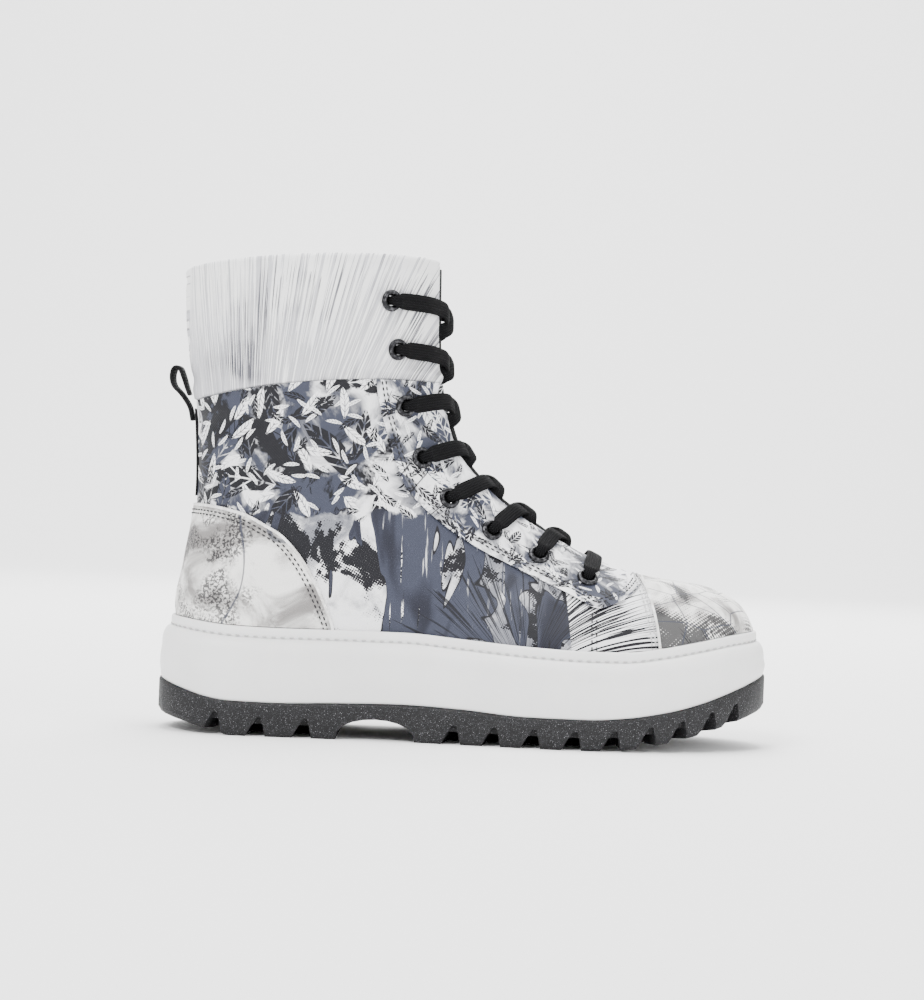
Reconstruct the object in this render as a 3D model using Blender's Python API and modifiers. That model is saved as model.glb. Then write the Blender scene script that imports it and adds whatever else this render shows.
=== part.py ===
"""A platform lace-up boot, right foot, standing on its sole.

Metres, +Z up, toe towards +X, outer side of the foot towards -Y. The origin is on
the floor below the middle of the sole. Every curved piece of the upper is cut from
one surface, the last, which is lofted through the sections of the table LAST.
"""

import functools
import math

import bmesh
import bpy
from mathutils import Matrix, Vector

# Sizes of the sole
SOLE_LENGTH = 0.291
SOLE_WIDTH = 0.106
PLATFORM_HEIGHT = 0.0505
OUTSOLE_THICKNESS = 0.016
TREAD_DEPTH = 0.0058
SIDE_NOTCH_HEIGHT = 0.0090
SIDE_NOTCH_DEPTH = 0.0036
SIDE_LUG_REACH = 0.024
GROOVE_WIDTH = 0.0092
LUG_TOE_SLANT = 0.0050
LUG_HEEL_SLANT = 0.0014
CENTRE_GROOVE_WIDTH = 0.0055
CENTRE_GROOVE_SLANT = 0.0012
SOLE_SEAM_STEP = 0.0009
SHOULDER_HEIGHT = 0.0075
RIM_HEIGHT = 0.0055
RIM_THICKNESS = 0.0018
CUP_DEPTH = 0.0056
TOE_SWING = 0.0045
HEEL_ROUND = 0.150
TOE_ROUND = 0.270

# Sizes of the upper
UPPER_HEIGHT = 0.1745
UPPER_INSET = 0.0078
SHAFT_WIDTH = 0.095
HEEL_CUP_HEIGHT = 0.060
WIDEST_ON_SHAFT = 0.40
WALL = 0.0026
CUFF_WALL = 0.0040
OVERLAY = 0.0011
OVERLAY_GAP = 0.0005
THROAT_LOW = 0.0080
THROAT_TOP = 0.0125
TONGUE_THICKNESS = 0.0036
TONGUE_HALF_LOW = 0.0150
TONGUE_HALF_TOP = 0.0255
TONGUE_SLACK = 0.0018
TONGUE_DROP = 0.0030
INSOLE_THICKNESS = 0.0040
TAPE_WIDTH = 0.0095
TAPE_THICKNESS = 0.0008
LOOP_WIDTH = 0.0110
LOOP_THICKNESS = 0.0014

# Sizes of the lacing
EYELET_RADIUS = 0.0051
EYELET_BORE = 0.0026
EYELET_BARREL = 0.0030
EYELET_HEIGHT = 0.0009
EYELET_LIFT = 0.0005
LACE_WIDTH = 0.0080
LACE_THICKNESS = 0.0017
LACE_STEP = 0.0007
LACE_CLEARANCE = 0.0003
LACE_END = 0.0046
LACE_REACH_DOWN = 0.52

GAP = 0.0003
CUP_GAP = 0.0005
NOTCH_TRIM = 0.0003
BELOW = -0.006
REACH = 0.2

# Half widths of the sole before its ends are rounded, as shares of SOLE_WIDTH.
FOOTPRINT = (
    # along, lateral, medial
    (0.00, 0.398, 0.380),
    (0.15, 0.400, 0.384),
    (0.30, 0.400, 0.372),
    (0.42, 0.414, 0.366),
    (0.55, 0.462, 0.412),
    (0.66, 0.500, 0.468),
    (0.75, 0.508, 0.500),
    (0.84, 0.496, 0.512),
    (0.92, 0.470, 0.500),
    (1.00, 0.440, 0.480),
)

# Heights along the sole: the rim and the outsole's top as shares of PLATFORM_HEIGHT and
# OUTSOLE_THICKNESS, and the tread's lift off the floor as a share of SOLE_LENGTH.
SOLE_LINES = (
    # along, rim, outsole top, tread lift
    (0.000, 1.080, 1.520, 0.0290),
    (0.045, 1.055, 1.290, 0.0200),
    (0.090, 1.025, 1.080, 0.0095),
    (0.125, 1.010, 1.000, 0.0000),
    (0.200, 1.000, 0.975, 0.0000),
    (0.300, 1.003, 1.035, 0.0000),
    (0.400, 1.003, 1.070, 0.0000),
    (0.500, 0.965, 1.010, 0.0000),
    (0.600, 0.925, 0.885, 0.0000),
    (0.700, 0.905, 0.880, 0.0000),
    (0.760, 0.910, 0.960, 0.0045),
    (0.820, 0.955, 1.130, 0.0140),
    (0.880, 1.020, 1.400, 0.0290),
    (0.940, 1.085, 1.790, 0.0480),
    (1.000, 1.125, 2.230, 0.0690),
)

# The last, one section a row. Each runs from a foot point, on the rim or on the back of
# the boot, up and forward to a ridge point on the middle line of its front. x is a share
# of SOLE_LENGTH from the heel, z a share of UPPER_HEIGHT above the platform, half the
# greatest half width as a share of SHAFT_WIDTH, widest the place of that width from foot
# to ridge, dome the power of the arch over it, bow how far the section's line is crowned,
# lag how late it leaves the back of the boot for the front as it rises.
LAST = (
    # ridge x, ridge z, foot x, foot z, half, widest, dome, bow, lag
    (0.9732, 0.0344, 0.9732, 0.0344, 0.000, 0.00, 2.30, 0.000, 1.00),
    (0.9610, 0.0752, 0.9610, 0.0325, 0.000, 0.00, 2.30, 0.000, 1.00),
    (0.9478, 0.1010, 0.9478, 0.0300, 0.000, 0.00, 2.30, 0.000, 1.00),
    (0.9262, 0.1228, 0.9262, 0.0260, 0.000, 0.00, 2.30, 0.000, 1.00),
    (0.8935, 0.1422, 0.8935, 0.0150, 0.000, 0.00, 2.25, 0.000, 1.00),
    (0.8522, 0.1520, 0.8522, 0.0000, 0.000, 0.00, 2.20, 0.000, 1.00),
    (0.8076, 0.1616, 0.8040, -0.015, 0.000, 0.00, 2.15, 0.000, 1.00),
    (0.7612, 0.1760, 0.7423, -0.025, 0.050, 0.00, 2.05, 0.000, 1.00),
    (0.7148, 0.2034, 0.6667, -0.025, 0.180, 0.00, 1.95, 0.000, 1.00),
    (0.6598, 0.2510, 0.5704, -0.020, 0.330, 0.01, 1.85, 0.000, 1.00),
    (0.6048, 0.3080, 0.4467, -0.005, 0.392, 0.08, 1.80, 0.000, 1.00),
    (0.5567, 0.3633, 0.2955, 0.0000, 0.398, 0.24, 1.85, 0.000, 1.20),
    (0.5172, 0.4230, 0.1375, 0.0060, 0.393, 0.40, 1.95, 0.000, 1.50),
    (0.4983, 0.4585, 0.0619, 0.0130, 0.390, 0.45, 2.00, 0.000, 1.80),
    (0.4828, 0.4957, 0.0268, 0.0195, 0.388, 0.47, 2.00, 0.000, 1.90),
    (0.4691, 0.5530, 0.0368, 0.1633, 0.392, 0.48, 2.00, 0.000, 1.50),
    (0.4598, 0.6103, 0.0509, 0.3582, 0.402, 0.50, 2.05, 0.008, 1.15),
    (0.4515, 0.6762, 0.0433, 0.6074, 0.440, 0.50, 2.10, 0.024, 1.00),
    (0.4481, 0.7307, 0.0323, 0.7020, 0.458, 0.50, 2.10, 0.020, 1.00),
    (0.4450, 0.8338, 0.0234, 0.8166, 0.480, 0.50, 2.10, 0.014, 1.00),
    (0.4423, 1.0029, 0.0189, 0.9542, 0.500, 0.50, 2.10, 0.010, 1.00),
)
THROAT_STATION = 8
HEEL_STATION = 14
SEAM_STATION = 17
COLLAR_STATION = 20

# Eyelets from the lowest to the highest: their station on the last and their distance
# from the throat's edge as a share of THROAT_TOP.
EYELETS = (
    # station, from the edge
    (8.17, 1.97),
    (9.40, 1.50),
    (10.55, 1.55),
    (11.77, 1.89),
    (14.18, 1.80),
    (16.32, 2.12),
    (18.24, 2.38),
    (19.29, 2.72),
)
CUFF_EYELETS = 2

# Outlines seen from the side. x is a share of SOLE_LENGTH from the heel, z a share of
# UPPER_HEIGHT above the platform.
COUNTER_EDGE = (
    # x, z
    (0.286, -0.030),
    (0.288, 0.006),
    (0.270, 0.080),
    (0.252, 0.140),
    (0.231, 0.193),
    (0.203, 0.243),
    (0.176, 0.270),
    (0.141, 0.298),
    (0.101, 0.313),
    (0.066, 0.320),
    (0.030, 0.322),
)
EYESTAY_EDGE = (
    # x, z
    (0.343, 0.680),
    (0.353, 0.594),
    (0.383, 0.440),
    (0.406, 0.372),
    (0.460, 0.293),
    (0.518, 0.233),
    (0.579, 0.185),
    (0.653, 0.131),
    (0.684, 0.110),
    (0.708, 0.075),
    (0.768, 0.126),
    (0.800, 0.190),
)
CAP_EDGE = (
    # x, z
    (0.778, 0.185),
    (0.790, 0.145),
    (0.800, 0.090),
    (0.808, 0.030),
    (0.814, -0.040),
)
PULL_LOOP = (
    # x, z
    (0.0405, 0.552),
    (0.0355, 0.588),
    (0.0220, 0.622),
    (0.0085, 0.646),
    (0.0050, 0.672),
    (0.0085, 0.694),
    (0.0170, 0.694),
    (0.0232, 0.672),
    (0.0290, 0.644),
    (0.0340, 0.622),
)

# Lugs: the gaps between them along each side of the sole, as shares of SOLE_LENGTH.
SIDE_GAPS = (0.100, 0.171, 0.245, 0.483, 0.547, 0.610, 0.675, 0.738, 0.796, 0.847, 0.897, 0.938)
CENTRE_GAPS = (0.135, 0.208, 0.515, 0.578, 0.643, 0.707, 0.767, 0.822, 0.872)
ARCH_START = 0.299
ARCH_END = 0.426
ARCH_HEIGHT = 0.0100

HEEL_CORE_X = -0.100
TOE_CORE_X = 0.095
SKIRT_ROWS = 2
COLUMNS = 13
SOLE_STATIONS = 26
ROUND_SIDES = 8

LATERAL = -1
MEDIAL = 1


def blend(rows, column, at):
    """Value of one column of a table whose first column is the place, on a smooth curve."""
    places = [row[0] for row in rows]
    last = len(rows) - 1
    at = min(max(at, places[0]), places[last])
    k = max(i for i in range(last) if places[i] <= at or i == 0)
    return hermite(places, [row[column] for row in rows], k, at)


def hermite(places, values, k, at):
    """Cubic curve between the values k and k + 1, with no overshoot."""

    def slope(i):
        return (values[i + 1] - values[i]) / (places[i + 1] - places[i])

    def tangent(i):
        if i == 0:
            return slope(0)
        if i == len(values) - 1:
            return slope(i - 1)
        before, after = slope(i - 1), slope(i)
        if before * after <= 0:
            return 0.0
        return 2 * before * after / (before + after)

    step = places[k + 1] - places[k]
    u = (at - places[k]) / step
    rise = values[k + 1] - values[k]
    start, end = tangent(k) * step, tangent(k + 1) * step
    return values[k] + u * start + u * u * (3 * rise - 2 * start - end) + u**3 * (start + end - 2 * rise)


def last_value(column, station):
    """Value of one column of LAST at a station, on a smooth curve through the sections."""
    values = [row[column] for row in LAST]
    k = min(int(station), len(LAST) - 2)
    u = station - k
    before = values[max(k - 1, 0)]
    here, there = values[k], values[k + 1]
    after = values[min(k + 2, len(values) - 1)]
    start, end = (there - before) / 2, (after - here) / 2
    rise = there - here
    return here + u * start + u * u * (3 * rise - 2 * start - end) + u**3 * (start + end - 2 * rise)


def smooth(share):
    """Rise from 0 to 1 that starts and ends level."""
    share = min(max(share, 0.0), 1.0)
    return share * share * (3 - 2 * share)


def sole_x(share):
    """Place along the sole of a share of its length."""
    return (share - 0.5) * SOLE_LENGTH


def above_platform(share):
    """Height of a share of the upper's height above the platform."""
    return PLATFORM_HEIGHT + share * UPPER_HEIGHT


def sole_share(x):
    return x / SOLE_LENGTH + 0.5


def rim_height(x):
    return blend(SOLE_LINES, 1, sole_share(x)) * PLATFORM_HEIGHT


def outsole_top(x):
    return blend(SOLE_LINES, 2, sole_share(x)) * OUTSOLE_THICKNESS


def tread_height(x):
    return blend(SOLE_LINES, 3, sole_share(x)) * SOLE_LENGTH


def rounded_end(share, length):
    """Narrowing of an end that is rounded over this share of the length."""
    if share >= length:
        return 1.0
    power = 2.3
    return max(1 - (1 - max(share, 0) / length) ** power, 0) ** (1 / power)


def half_width(x, side, inset):
    """Half width of the sole's outline, drawn in by inset, beside its middle line."""
    share = (x + SOLE_LENGTH / 2 - inset) / (SOLE_LENGTH - 2 * inset)
    plain = blend(FOOTPRINT, 1 if side == LATERAL else 2, share) * SOLE_WIDTH - inset
    return plain * rounded_end(share, HEEL_ROUND) * rounded_end(1 - share, TOE_ROUND)


def middle_line(x):
    """Sideways place of the foot's middle line, which swings inwards at the toe."""
    forward = max(sole_share(x) - 0.55, 0) / 0.45
    return TOE_SWING * forward**2 + OUTLINE_SHIFT


def widest_reach(side):
    """How far the sole reaches to one side of the foot's middle."""
    places = [sole_x(i / 200) for i in range(201)]
    swing = [TOE_SWING * (max(sole_share(x) - 0.55, 0) / 0.45) ** 2 for x in places]
    return max(side * y + half_width(x, side, 0) for x, y in zip(places, swing))


OUTLINE_SHIFT = (widest_reach(LATERAL) - widest_reach(MEDIAL)) / 2


def outline(inset):
    """Stations of the sole's outline from heel to toe: x, lateral y and medial y."""
    stations = []
    for i in range(SOLE_STATIONS + 1):
        share = (1 - math.cos(math.pi * i / SOLE_STATIONS)) / 2
        x = (share - 0.5) * (SOLE_LENGTH - 2 * inset)
        lateral = middle_line(x) - half_width(x, LATERAL, inset)
        medial = middle_line(x) + half_width(x, MEDIAL, inset)
        stations.append((x, lateral, medial))
    return stations


def section_point(station, share, side):
    """Point of the last on one section, from its foot at 0 to its ridge at 1."""
    station = 0.0 if station < 0.001 else station
    ridge_x, ridge_z, foot_x, foot_z, half, widest, dome, bow, lag = (
        last_value(column, station) for column in range(9)
    )
    foot = Vector((sole_x(foot_x), 0, above_platform(foot_z)))
    ridge = Vector((sole_x(ridge_x), 0, above_platform(ridge_z)))
    on_rim = station <= HEEL_STATION
    if on_rim:
        foot.z = rim_height(foot.x)
    if station <= 0:
        ridge = foot.copy()
    base = half_width(foot.x, side, UPPER_INSET) if on_rim else 0.0
    greatest = base + (half * SHAFT_WIDTH - base) * smooth(widest / WIDEST_ON_SHAFT)
    point = foot.lerp(ridge, share)
    point.z += bow * UPPER_HEIGHT * 4 * share * (1 - share)
    onward = share**lag
    point.x = foot.x + (ridge.x - foot.x) * onward
    if onward < widest:
        out = onward / widest
        round_back = greatest * math.sqrt(max(1 - (1 - (base / greatest) ** 2) * (1 - out) ** 2, 0))
        shift = 0.0 if on_rim else foot.x - sole_x(LAST[HEEL_STATION][2])
        like_sole = half_width(point.x - shift, side, UPPER_INSET)
        rise = (foot.z - rim_height(foot.x)) / HEEL_CUP_HEIGHT
        rounder = 1 - (1 - smooth(out)) * (1 - smooth(rise))
        width = like_sole + (round_back - like_sole) * rounder
    else:
        width = greatest * math.sqrt(max(1 - ((onward - widest) / (1 - widest)) ** dome, 0))
    point.y = middle_line(point.x) + side * width
    return point


@functools.cache
def section_line(station, side):
    """Fine points of a section from its ridge to its foot, with their run along it."""
    count = 60
    points = []
    for i in range(count + 1):
        share = (1 + math.cos(math.pi * i / count)) / 2
        points.append(section_point(station, share, side))
    runs = [0.0]
    for before, after in zip(points, points[1:]):
        runs.append(runs[-1] + (after - before).length)
    return points, runs


def at_run(line, run):
    """Point at a run along a section line."""
    points, runs = line
    for i in range(1, len(runs)):
        if run <= runs[i]:
            step = runs[i] - runs[i - 1]
            u = (run - runs[i - 1]) / step if step > 0 else 0.0
            return points[i - 1].lerp(points[i], u)
    return points[-1].copy()


def on_last(station, run, side, lift=0.0):
    """Point on the last at a run from its ridge, moved out by lift, and its normal."""
    small = 0.0004
    low, high = max(station - 0.02, 0.02), min(station + 0.02, COLLAR_STATION)
    if run < 0:
        run, side = -run, -side
    point = at_run(section_line(station, side), run)
    at_back = station >= HEEL_STATION and run > section_length(station, side) - small
    if station < 0.02:
        normal = Vector((1, 0, 0))
    elif run < small or at_back:
        share = 0 if at_back else 1
        low = max(low, HEEL_STATION) if at_back else low
        along = section_point(high, share, side) - section_point(low, share, side)
        along.y = 0
        normal = Vector((0, -1 if at_back else 1, 0)).cross(along).normalized()
    else:
        across = at_run(section_line(station, side), run - small)
        share = run / section_length(station, side)
        above = at_run(section_line(high, side), share * section_length(high, side))
        along = above - at_run(section_line(low, side), share * section_length(low, side))
        normal = (point - across).cross(along).normalized() * side
    return point + normal * lift, normal


def throat_edge(station):
    """Run from the ridge to the edge of the throat's opening, nothing below the throat."""
    if station <= THROAT_STATION:
        return 0.0
    way = (station - THROAT_STATION) / (COLLAR_STATION - THROAT_STATION)
    open_end = min((station - THROAT_STATION) / 0.6, 1.0)
    width = THROAT_LOW + (THROAT_TOP - THROAT_LOW) * way
    return width * math.sqrt(1 - (1 - open_end) ** 2)


def stations_between(first, last):
    """Stations of the grid's rows, more of them where the lacing is and where the heel turns."""
    rows = []
    for k in range(first, last):
        parts = 1 if k < THROAT_STATION or HEEL_STATION <= k < SEAM_STATION - 1 else 2
        parts = 5 if k == HEEL_STATION - 1 else parts
        rows += [k + i / parts for i in range(parts)]
    return rows + [last]


def collection(name):
    made = bpy.data.collections.new(name)
    bpy.context.scene.collection.children.link(made)
    return made


def material(name, colour, roughness, metallic=0.0):
    made = bpy.data.materials.new(name)
    made.use_nodes = True
    shader = made.node_tree.nodes["Principled BSDF"]
    shader.inputs["Base Color"].default_value = (*colour, 1)
    shader.inputs["Roughness"].default_value = roughness
    shader.inputs["Metallic"].default_value = metallic
    return made


def add_object(name, mesh, into, finish=None):
    made = bpy.data.objects.new(name, mesh)
    into.objects.link(made)
    if finish:
        mesh.materials.append(finish)
    return made


def mesh_from(name, points, faces):
    """Mesh of points and faces, with points that fall together made one."""
    mesh = bpy.data.meshes.new(name)
    work = bmesh.new()
    corners = [work.verts.new(point) for point in points]
    for face in faces:
        work.faces.new([corners[i] for i in face])
    bmesh.ops.remove_doubles(work, verts=work.verts, dist=1e-6)
    bmesh.ops.dissolve_degenerate(work, edges=work.edges, dist=1e-7)
    work.to_mesh(mesh)
    work.free()
    return mesh


def grid_faces(rows, columns, start=0, flip=False, skip=0):
    faces = []
    for i in range(rows - 1):
        for j in range(skip, columns - 1):
            a = start + i * columns + j
            below, across = a + columns, a + columns + 1
            for face in ((a, below, across), (a, across, a + 1)):
                faces.append(face[::-1] if flip else face)
    return faces


def thicken(made, thickness, inwards=True):
    """Give an open sheet its thickness, on its inner side."""
    wall = made.modifiers.new("wall", "SOLIDIFY")
    wall.thickness = thickness
    wall.offset = -1 if inwards else 1
    wall.use_quality_normals = True
    return made


def cut_away(made, cutters):
    """Take every object of a collection away from a body."""
    step = made.modifiers.new("cut", "BOOLEAN")
    step.operand_type = "COLLECTION"
    step.collection = cutters
    step.operation = "DIFFERENCE"
    step.solver = "EXACT"


def cut_with(made, cutter, operation):
    step = made.modifiers.new("cut with " + cutter.name, "BOOLEAN")
    step.object = cutter
    step.operation = operation
    step.solver = "EXACT"


def as_cutter(made):
    made.hide_render = True
    made.display_type = "WIRE"
    return made


def sheet_side(stations, side, start, end, lift, columns):
    """Grid of points on one side of the last, between two runs from the ridge."""
    points = []
    for station in stations:
        first = start(station)
        length = end(station, side) - first
        for j in range(columns):
            way = j / (columns - 1)
            run = first + length * (way + (1 - math.cos(math.pi * way)) / 2) / 2
            points.append(on_last(station, run, side, lift)[0])
    return points


def section_length(station, side):
    return section_line(station, side)[1][-1]


def last_sheet(stations, start, end, lift=0.0, columns=COLUMNS, skip=0):
    """Open sheet of the last on both sides, without its first columns from the ridge."""
    lateral = sheet_side(stations, LATERAL, start, end, lift, columns)
    medial = sheet_side(stations, MEDIAL, start, end, lift, columns)
    faces = grid_faces(len(stations), columns, skip=skip)
    faces += grid_faces(len(stations), columns, start=len(lateral), flip=True, skip=skip)
    return lateral + medial, faces


def skirt(stations):
    """Band below the rim where the upper goes down into the sole's cup."""
    ring = []
    on_rim = [s for s in stations if s <= HEEL_STATION]
    for side, row in ((LATERAL, on_rim), (MEDIAL, on_rim[::-1])):
        for station in row:
            foot = section_point(min(station, HEEL_STATION - 1e-6), 0, side)
            if station == HEEL_STATION:
                foot = section_point(station, 0, side)
            ring.append(foot)
    points, faces = [], []
    for level in range(SKIRT_ROWS):
        drop = (CUP_DEPTH - CUP_GAP) * level / (SKIRT_ROWS - 1)
        points += [foot - Vector((0, 0, drop)) for foot in ring]
    count = len(ring)
    for i in range(count):
        after = (i + 1) % count
        faces.append((i, after, after + count, i + count))
    return points, faces


def make_upper(finish, into, holes):
    stations = stations_between(0, SEAM_STATION)
    stations[-1] = SEAM_STATION - 0.02
    points, faces = last_sheet(stations, throat_edge, section_length)
    low_points, low_faces = skirt(stations)
    faces += [tuple(i + len(points) for i in face) for face in low_faces]
    mesh = mesh_from("upper", points + low_points, faces)
    made = add_object("upper", mesh, into, finish)
    thicken(made, WALL)
    cut_with(made, holes, "DIFFERENCE")
    mesh.shade_smooth()
    return made


def make_cuff(finish, into, holes):
    stations = [SEAM_STATION + 0.02] + stations_between(SEAM_STATION, COLLAR_STATION)[1:]
    points, faces = last_sheet(stations, throat_edge, section_length, lift=GAP)
    made = add_object("cuff", mesh_from("cuff", points, faces), into, finish)
    thicken(made, CUFF_WALL)
    cut_with(made, holes, "DIFFERENCE")
    made.data.shade_smooth()
    return made


def side_prism(name, edge, closing, into):
    """Cutter with an outline seen from the side, right through the boot."""
    shape = [(sole_x(x), above_platform(z)) for x, z in edge + closing]
    rings = [[Vector((x, y, z)) for x, z in shape] for y in (-REACH, REACH)]
    return as_cutter(add_object(name, closed_mesh(name, rings), into))


def make_overlay(name, stations, start, prism, rim, finish, into, holes=None):
    """Panel on the upper's outer face, cut from the last to its outline and at the rim."""
    points, faces = last_sheet(stations, start, section_length)
    made = add_object(name, mesh_from(name, points, faces), into, finish)
    raised = made.modifiers.new("raised", "DISPLACE")
    raised.strength = OVERLAY_GAP
    raised.mid_level = 0
    thicken(made, OVERLAY, inwards=False)
    cut_with(made, prism, "INTERSECT")
    cut_with(made, rim, "DIFFERENCE")
    if holes:
        cut_with(made, holes, "DIFFERENCE")
    made.data.shade_smooth()
    return made


def welded(points, faces):
    """Sheet with the points that fall together made one."""
    kept, index, places = [], [], {}
    for point in points:
        key = tuple(round(c, 6) for c in point)
        if key not in places:
            places[key] = len(kept)
            kept.append(point)
        index.append(places[key])
    joined = [tuple(dict.fromkeys(index[i] for i in face)) for face in faces]
    return kept, [face for face in joined if len(face) > 2]


def away_from_heel(point):
    """Level direction out of the heel, round its upright middle."""
    back = min(point.x - HEEL_CORE_X, 0)
    return Vector((back, point.y - middle_line(point.x), 0)).normalized()


def away_from_toe(point):
    """Direction out of the toe box, round its middle."""
    forward = max(point.x - TOE_CORE_X, 0)
    up = point.z - PLATFORM_HEIGHT
    return Vector((forward, point.y - middle_line(point.x), up)).normalized()


def make_end_overlay(name, sheet, outwards, prism, rim, finish, into):
    """Overlay round the toe or the heel, raised away from the middle of that end."""
    points, faces = welded(*sheet)
    count = len(points)
    shell = [point + outwards(point) * OVERLAY_GAP for point in points]
    shell += [point + outwards(point) * (OVERLAY_GAP + OVERLAY) for point in points]
    edges = {(face[i - 1], face[i]) for face in faces for i in range(len(face))}
    sides = [(a, b, b + count, a + count) for a, b in edges if (b, a) not in edges]
    inside = [face[::-1] for face in faces]
    outside = [tuple(i + count for i in face) for face in faces]
    used = sorted({i for face in inside + outside + sides for i in face})
    place = {old: new for new, old in enumerate(used)}
    kept = [tuple(place[i] for i in face) for face in inside + outside + sorted(sides)]
    mesh = mesh_from(name, [shell[i] for i in used], kept)
    made = add_object(name, mesh, into, finish)
    cut_with(made, prism, "INTERSECT")
    cut_with(made, rim, "DIFFERENCE")
    made.data.shade_smooth()
    return made


def outline_ring(inset, height):
    """Ring of points round the sole, heel first, then the lateral and the medial side."""
    stations = outline(inset)
    ring = [Vector((x, lateral, height(x))) for x, lateral, _ in stations]
    ring += [Vector((x, medial, height(x))) for x, _, medial in stations[-2:0:-1]]
    return ring


def ring_body(name, levels, finish, into):
    """Closed body through rings round the sole, its ends filled from side to side."""
    points, faces = [], []
    for inset, height in levels:
        points += outline_ring(inset, height)
    count = 2 * SOLE_STATIONS
    for level in range(len(levels) - 1):
        for i in range(count):
            a, b = level * count + i, level * count + (i + 1) % count
            faces.append((a, a + count, b + count, b))
    for start, flip in ((0, True), ((len(levels) - 1) * count, False)):
        for i in range(SOLE_STATIONS):
            left, left_next = start + i, start + i + 1
            right, right_next = start + (count - i) % count, start + count - i - 1
            face = (left, left_next, right_next, right)
            face = tuple(dict.fromkeys(face))
            faces.append(face[::-1] if flip else face)
    return add_object(name, face_out(mesh_from(name, points, faces)), into, finish)


RIM_CUTTER = ((-0.004, lambda x: OUTSOLE_THICKNESS), (-0.004, lambda x: rim_height(x) + GAP))


def make_midsole(finish, into):
    def below_rim(drop):
        return lambda x: rim_height(x) - drop

    shoulder_end = RIM_HEIGHT + SHOULDER_HEIGHT
    rim_out = UPPER_INSET - CUP_GAP - RIM_THICKNESS
    levels = (
        (0.0008, lambda x: outsole_top(x) + GAP),
        (0.0004, lambda x: outsole_top(x) + GAP + 0.0012),
        (0.0010, below_rim(shoulder_end + 0.002)),
        (0.0016, below_rim(shoulder_end)),
        (0.0016 + 0.45 * (rim_out - 0.0016), below_rim(RIM_HEIGHT + 0.4 * SHOULDER_HEIGHT)),
        (rim_out - 0.0004, below_rim(RIM_HEIGHT)),
        (rim_out, below_rim(0.0010)),
        (rim_out + 0.0005, below_rim(0.0)),
        (UPPER_INSET - CUP_GAP, below_rim(0.0)),
        (UPPER_INSET - CUP_GAP, below_rim(CUP_DEPTH)),
    )
    ring_body("midsole", levels, finish, into).data.shade_smooth()


def make_insole(finish, into):
    inset = UPPER_INSET + WALL + 3 * CUP_GAP
    levels = (
        (inset + 0.0004, lambda x: rim_height(x) - CUP_DEPTH + GAP),
        (inset, lambda x: rim_height(x) - CUP_DEPTH + GAP + 0.0012),
        (inset, lambda x: rim_height(x) - CUP_DEPTH + GAP + INSOLE_THICKNESS - 0.0008),
        (inset + 0.0008, lambda x: rim_height(x) - CUP_DEPTH + GAP + INSOLE_THICKNESS),
    )
    ring_body("insole", levels, finish, into)


def closed_mesh(name, rings):
    """Mesh through a list of rings, closed by its first and last ring, facing out."""
    count = len(rings[0])
    points = [point for ring in rings for point in ring]
    faces = [tuple(range(count)), tuple(range(len(points) - count, len(points)))]
    for level in range(len(rings) - 1):
        for i in range(count):
            a, b = level * count + i, level * count + (i + 1) % count
            faces.append((a, b, b + count, a + count))
    return face_out(mesh_from(name, points, faces))


def face_out(mesh):
    work = bmesh.new()
    work.from_mesh(mesh)
    bmesh.ops.recalc_face_normals(work, faces=work.faces)
    work.to_mesh(mesh)
    work.free()
    return mesh


def side_gap_profile(heights, trim):
    """Gap between side lugs: places of its heel side and toe side at each height."""
    profile = []
    for z in heights:
        rear = -GROOVE_WIDTH / 2 + LUG_TOE_SLANT * z / SIDE_NOTCH_HEIGHT + trim
        front = GROOVE_WIDTH / 2 - LUG_HEEL_SLANT * z / SIDE_NOTCH_HEIGHT - trim
        profile.append((rear, front, z))
    return profile


def centre_gap_profile(depth):
    half = CENTRE_GROOVE_WIDTH / 2
    top = half - CENTRE_GROOVE_SLANT
    return [(-half, half, BELOW), (-half, half, 0), (-top, top, depth)]


def profile_ring(profile, place, along):
    """Outline of a gap's profile set upright at a place, its widths along a direction."""
    up = [place + along * rear + Vector((0, 0, z)) for rear, _, z in profile]
    down = [place + along * front + Vector((0, 0, z)) for _, front, z in profile[::-1]]
    return up + down


def straight_cutter(name, profile, start, end, along, into):
    rings = [profile_ring(profile, place, along) for place in (start, end)]
    as_cutter(add_object(name, closed_mesh(name, rings), into))


def edge_place(x, side):
    """Point on the sole's outline at the tread's height."""
    return Vector((x, middle_line(x) + side * half_width(x, side, 0), tread_height(x)))


def side_gaps(side, into):
    """Gaps between the side lugs of one side, each with a shallow notch above it."""
    gap = side_gap_profile((BELOW, 0, TREAD_DEPTH), 0)
    notch = side_gap_profile((BELOW, TREAD_DEPTH, SIDE_NOTCH_HEIGHT), NOTCH_TRIM)
    for number, share in enumerate(SIDE_GAPS):
        x = sole_x(share)
        here = edge_place(x, side)
        along = edge_place(x + 0.001, side) - here
        along.z = 0
        along.normalize()
        inward = Vector((along.y, -along.x, 0)) * side
        outside = here - inward * 0.004
        name = f"gap {number} {'lateral' if side == LATERAL else 'medial'}"
        straight_cutter(name, gap, outside, here + inward * SIDE_LUG_REACH, along, into)
        straight_cutter(name + " notch", notch, outside, here + inward * SIDE_NOTCH_DEPTH, along, into)


def lug_row_edge(x, side):
    """Inner end of the side lugs, where a groove runs along the sole."""
    return middle_line(x) + side * (half_width(x, side, 0) - SIDE_LUG_REACH)


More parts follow.
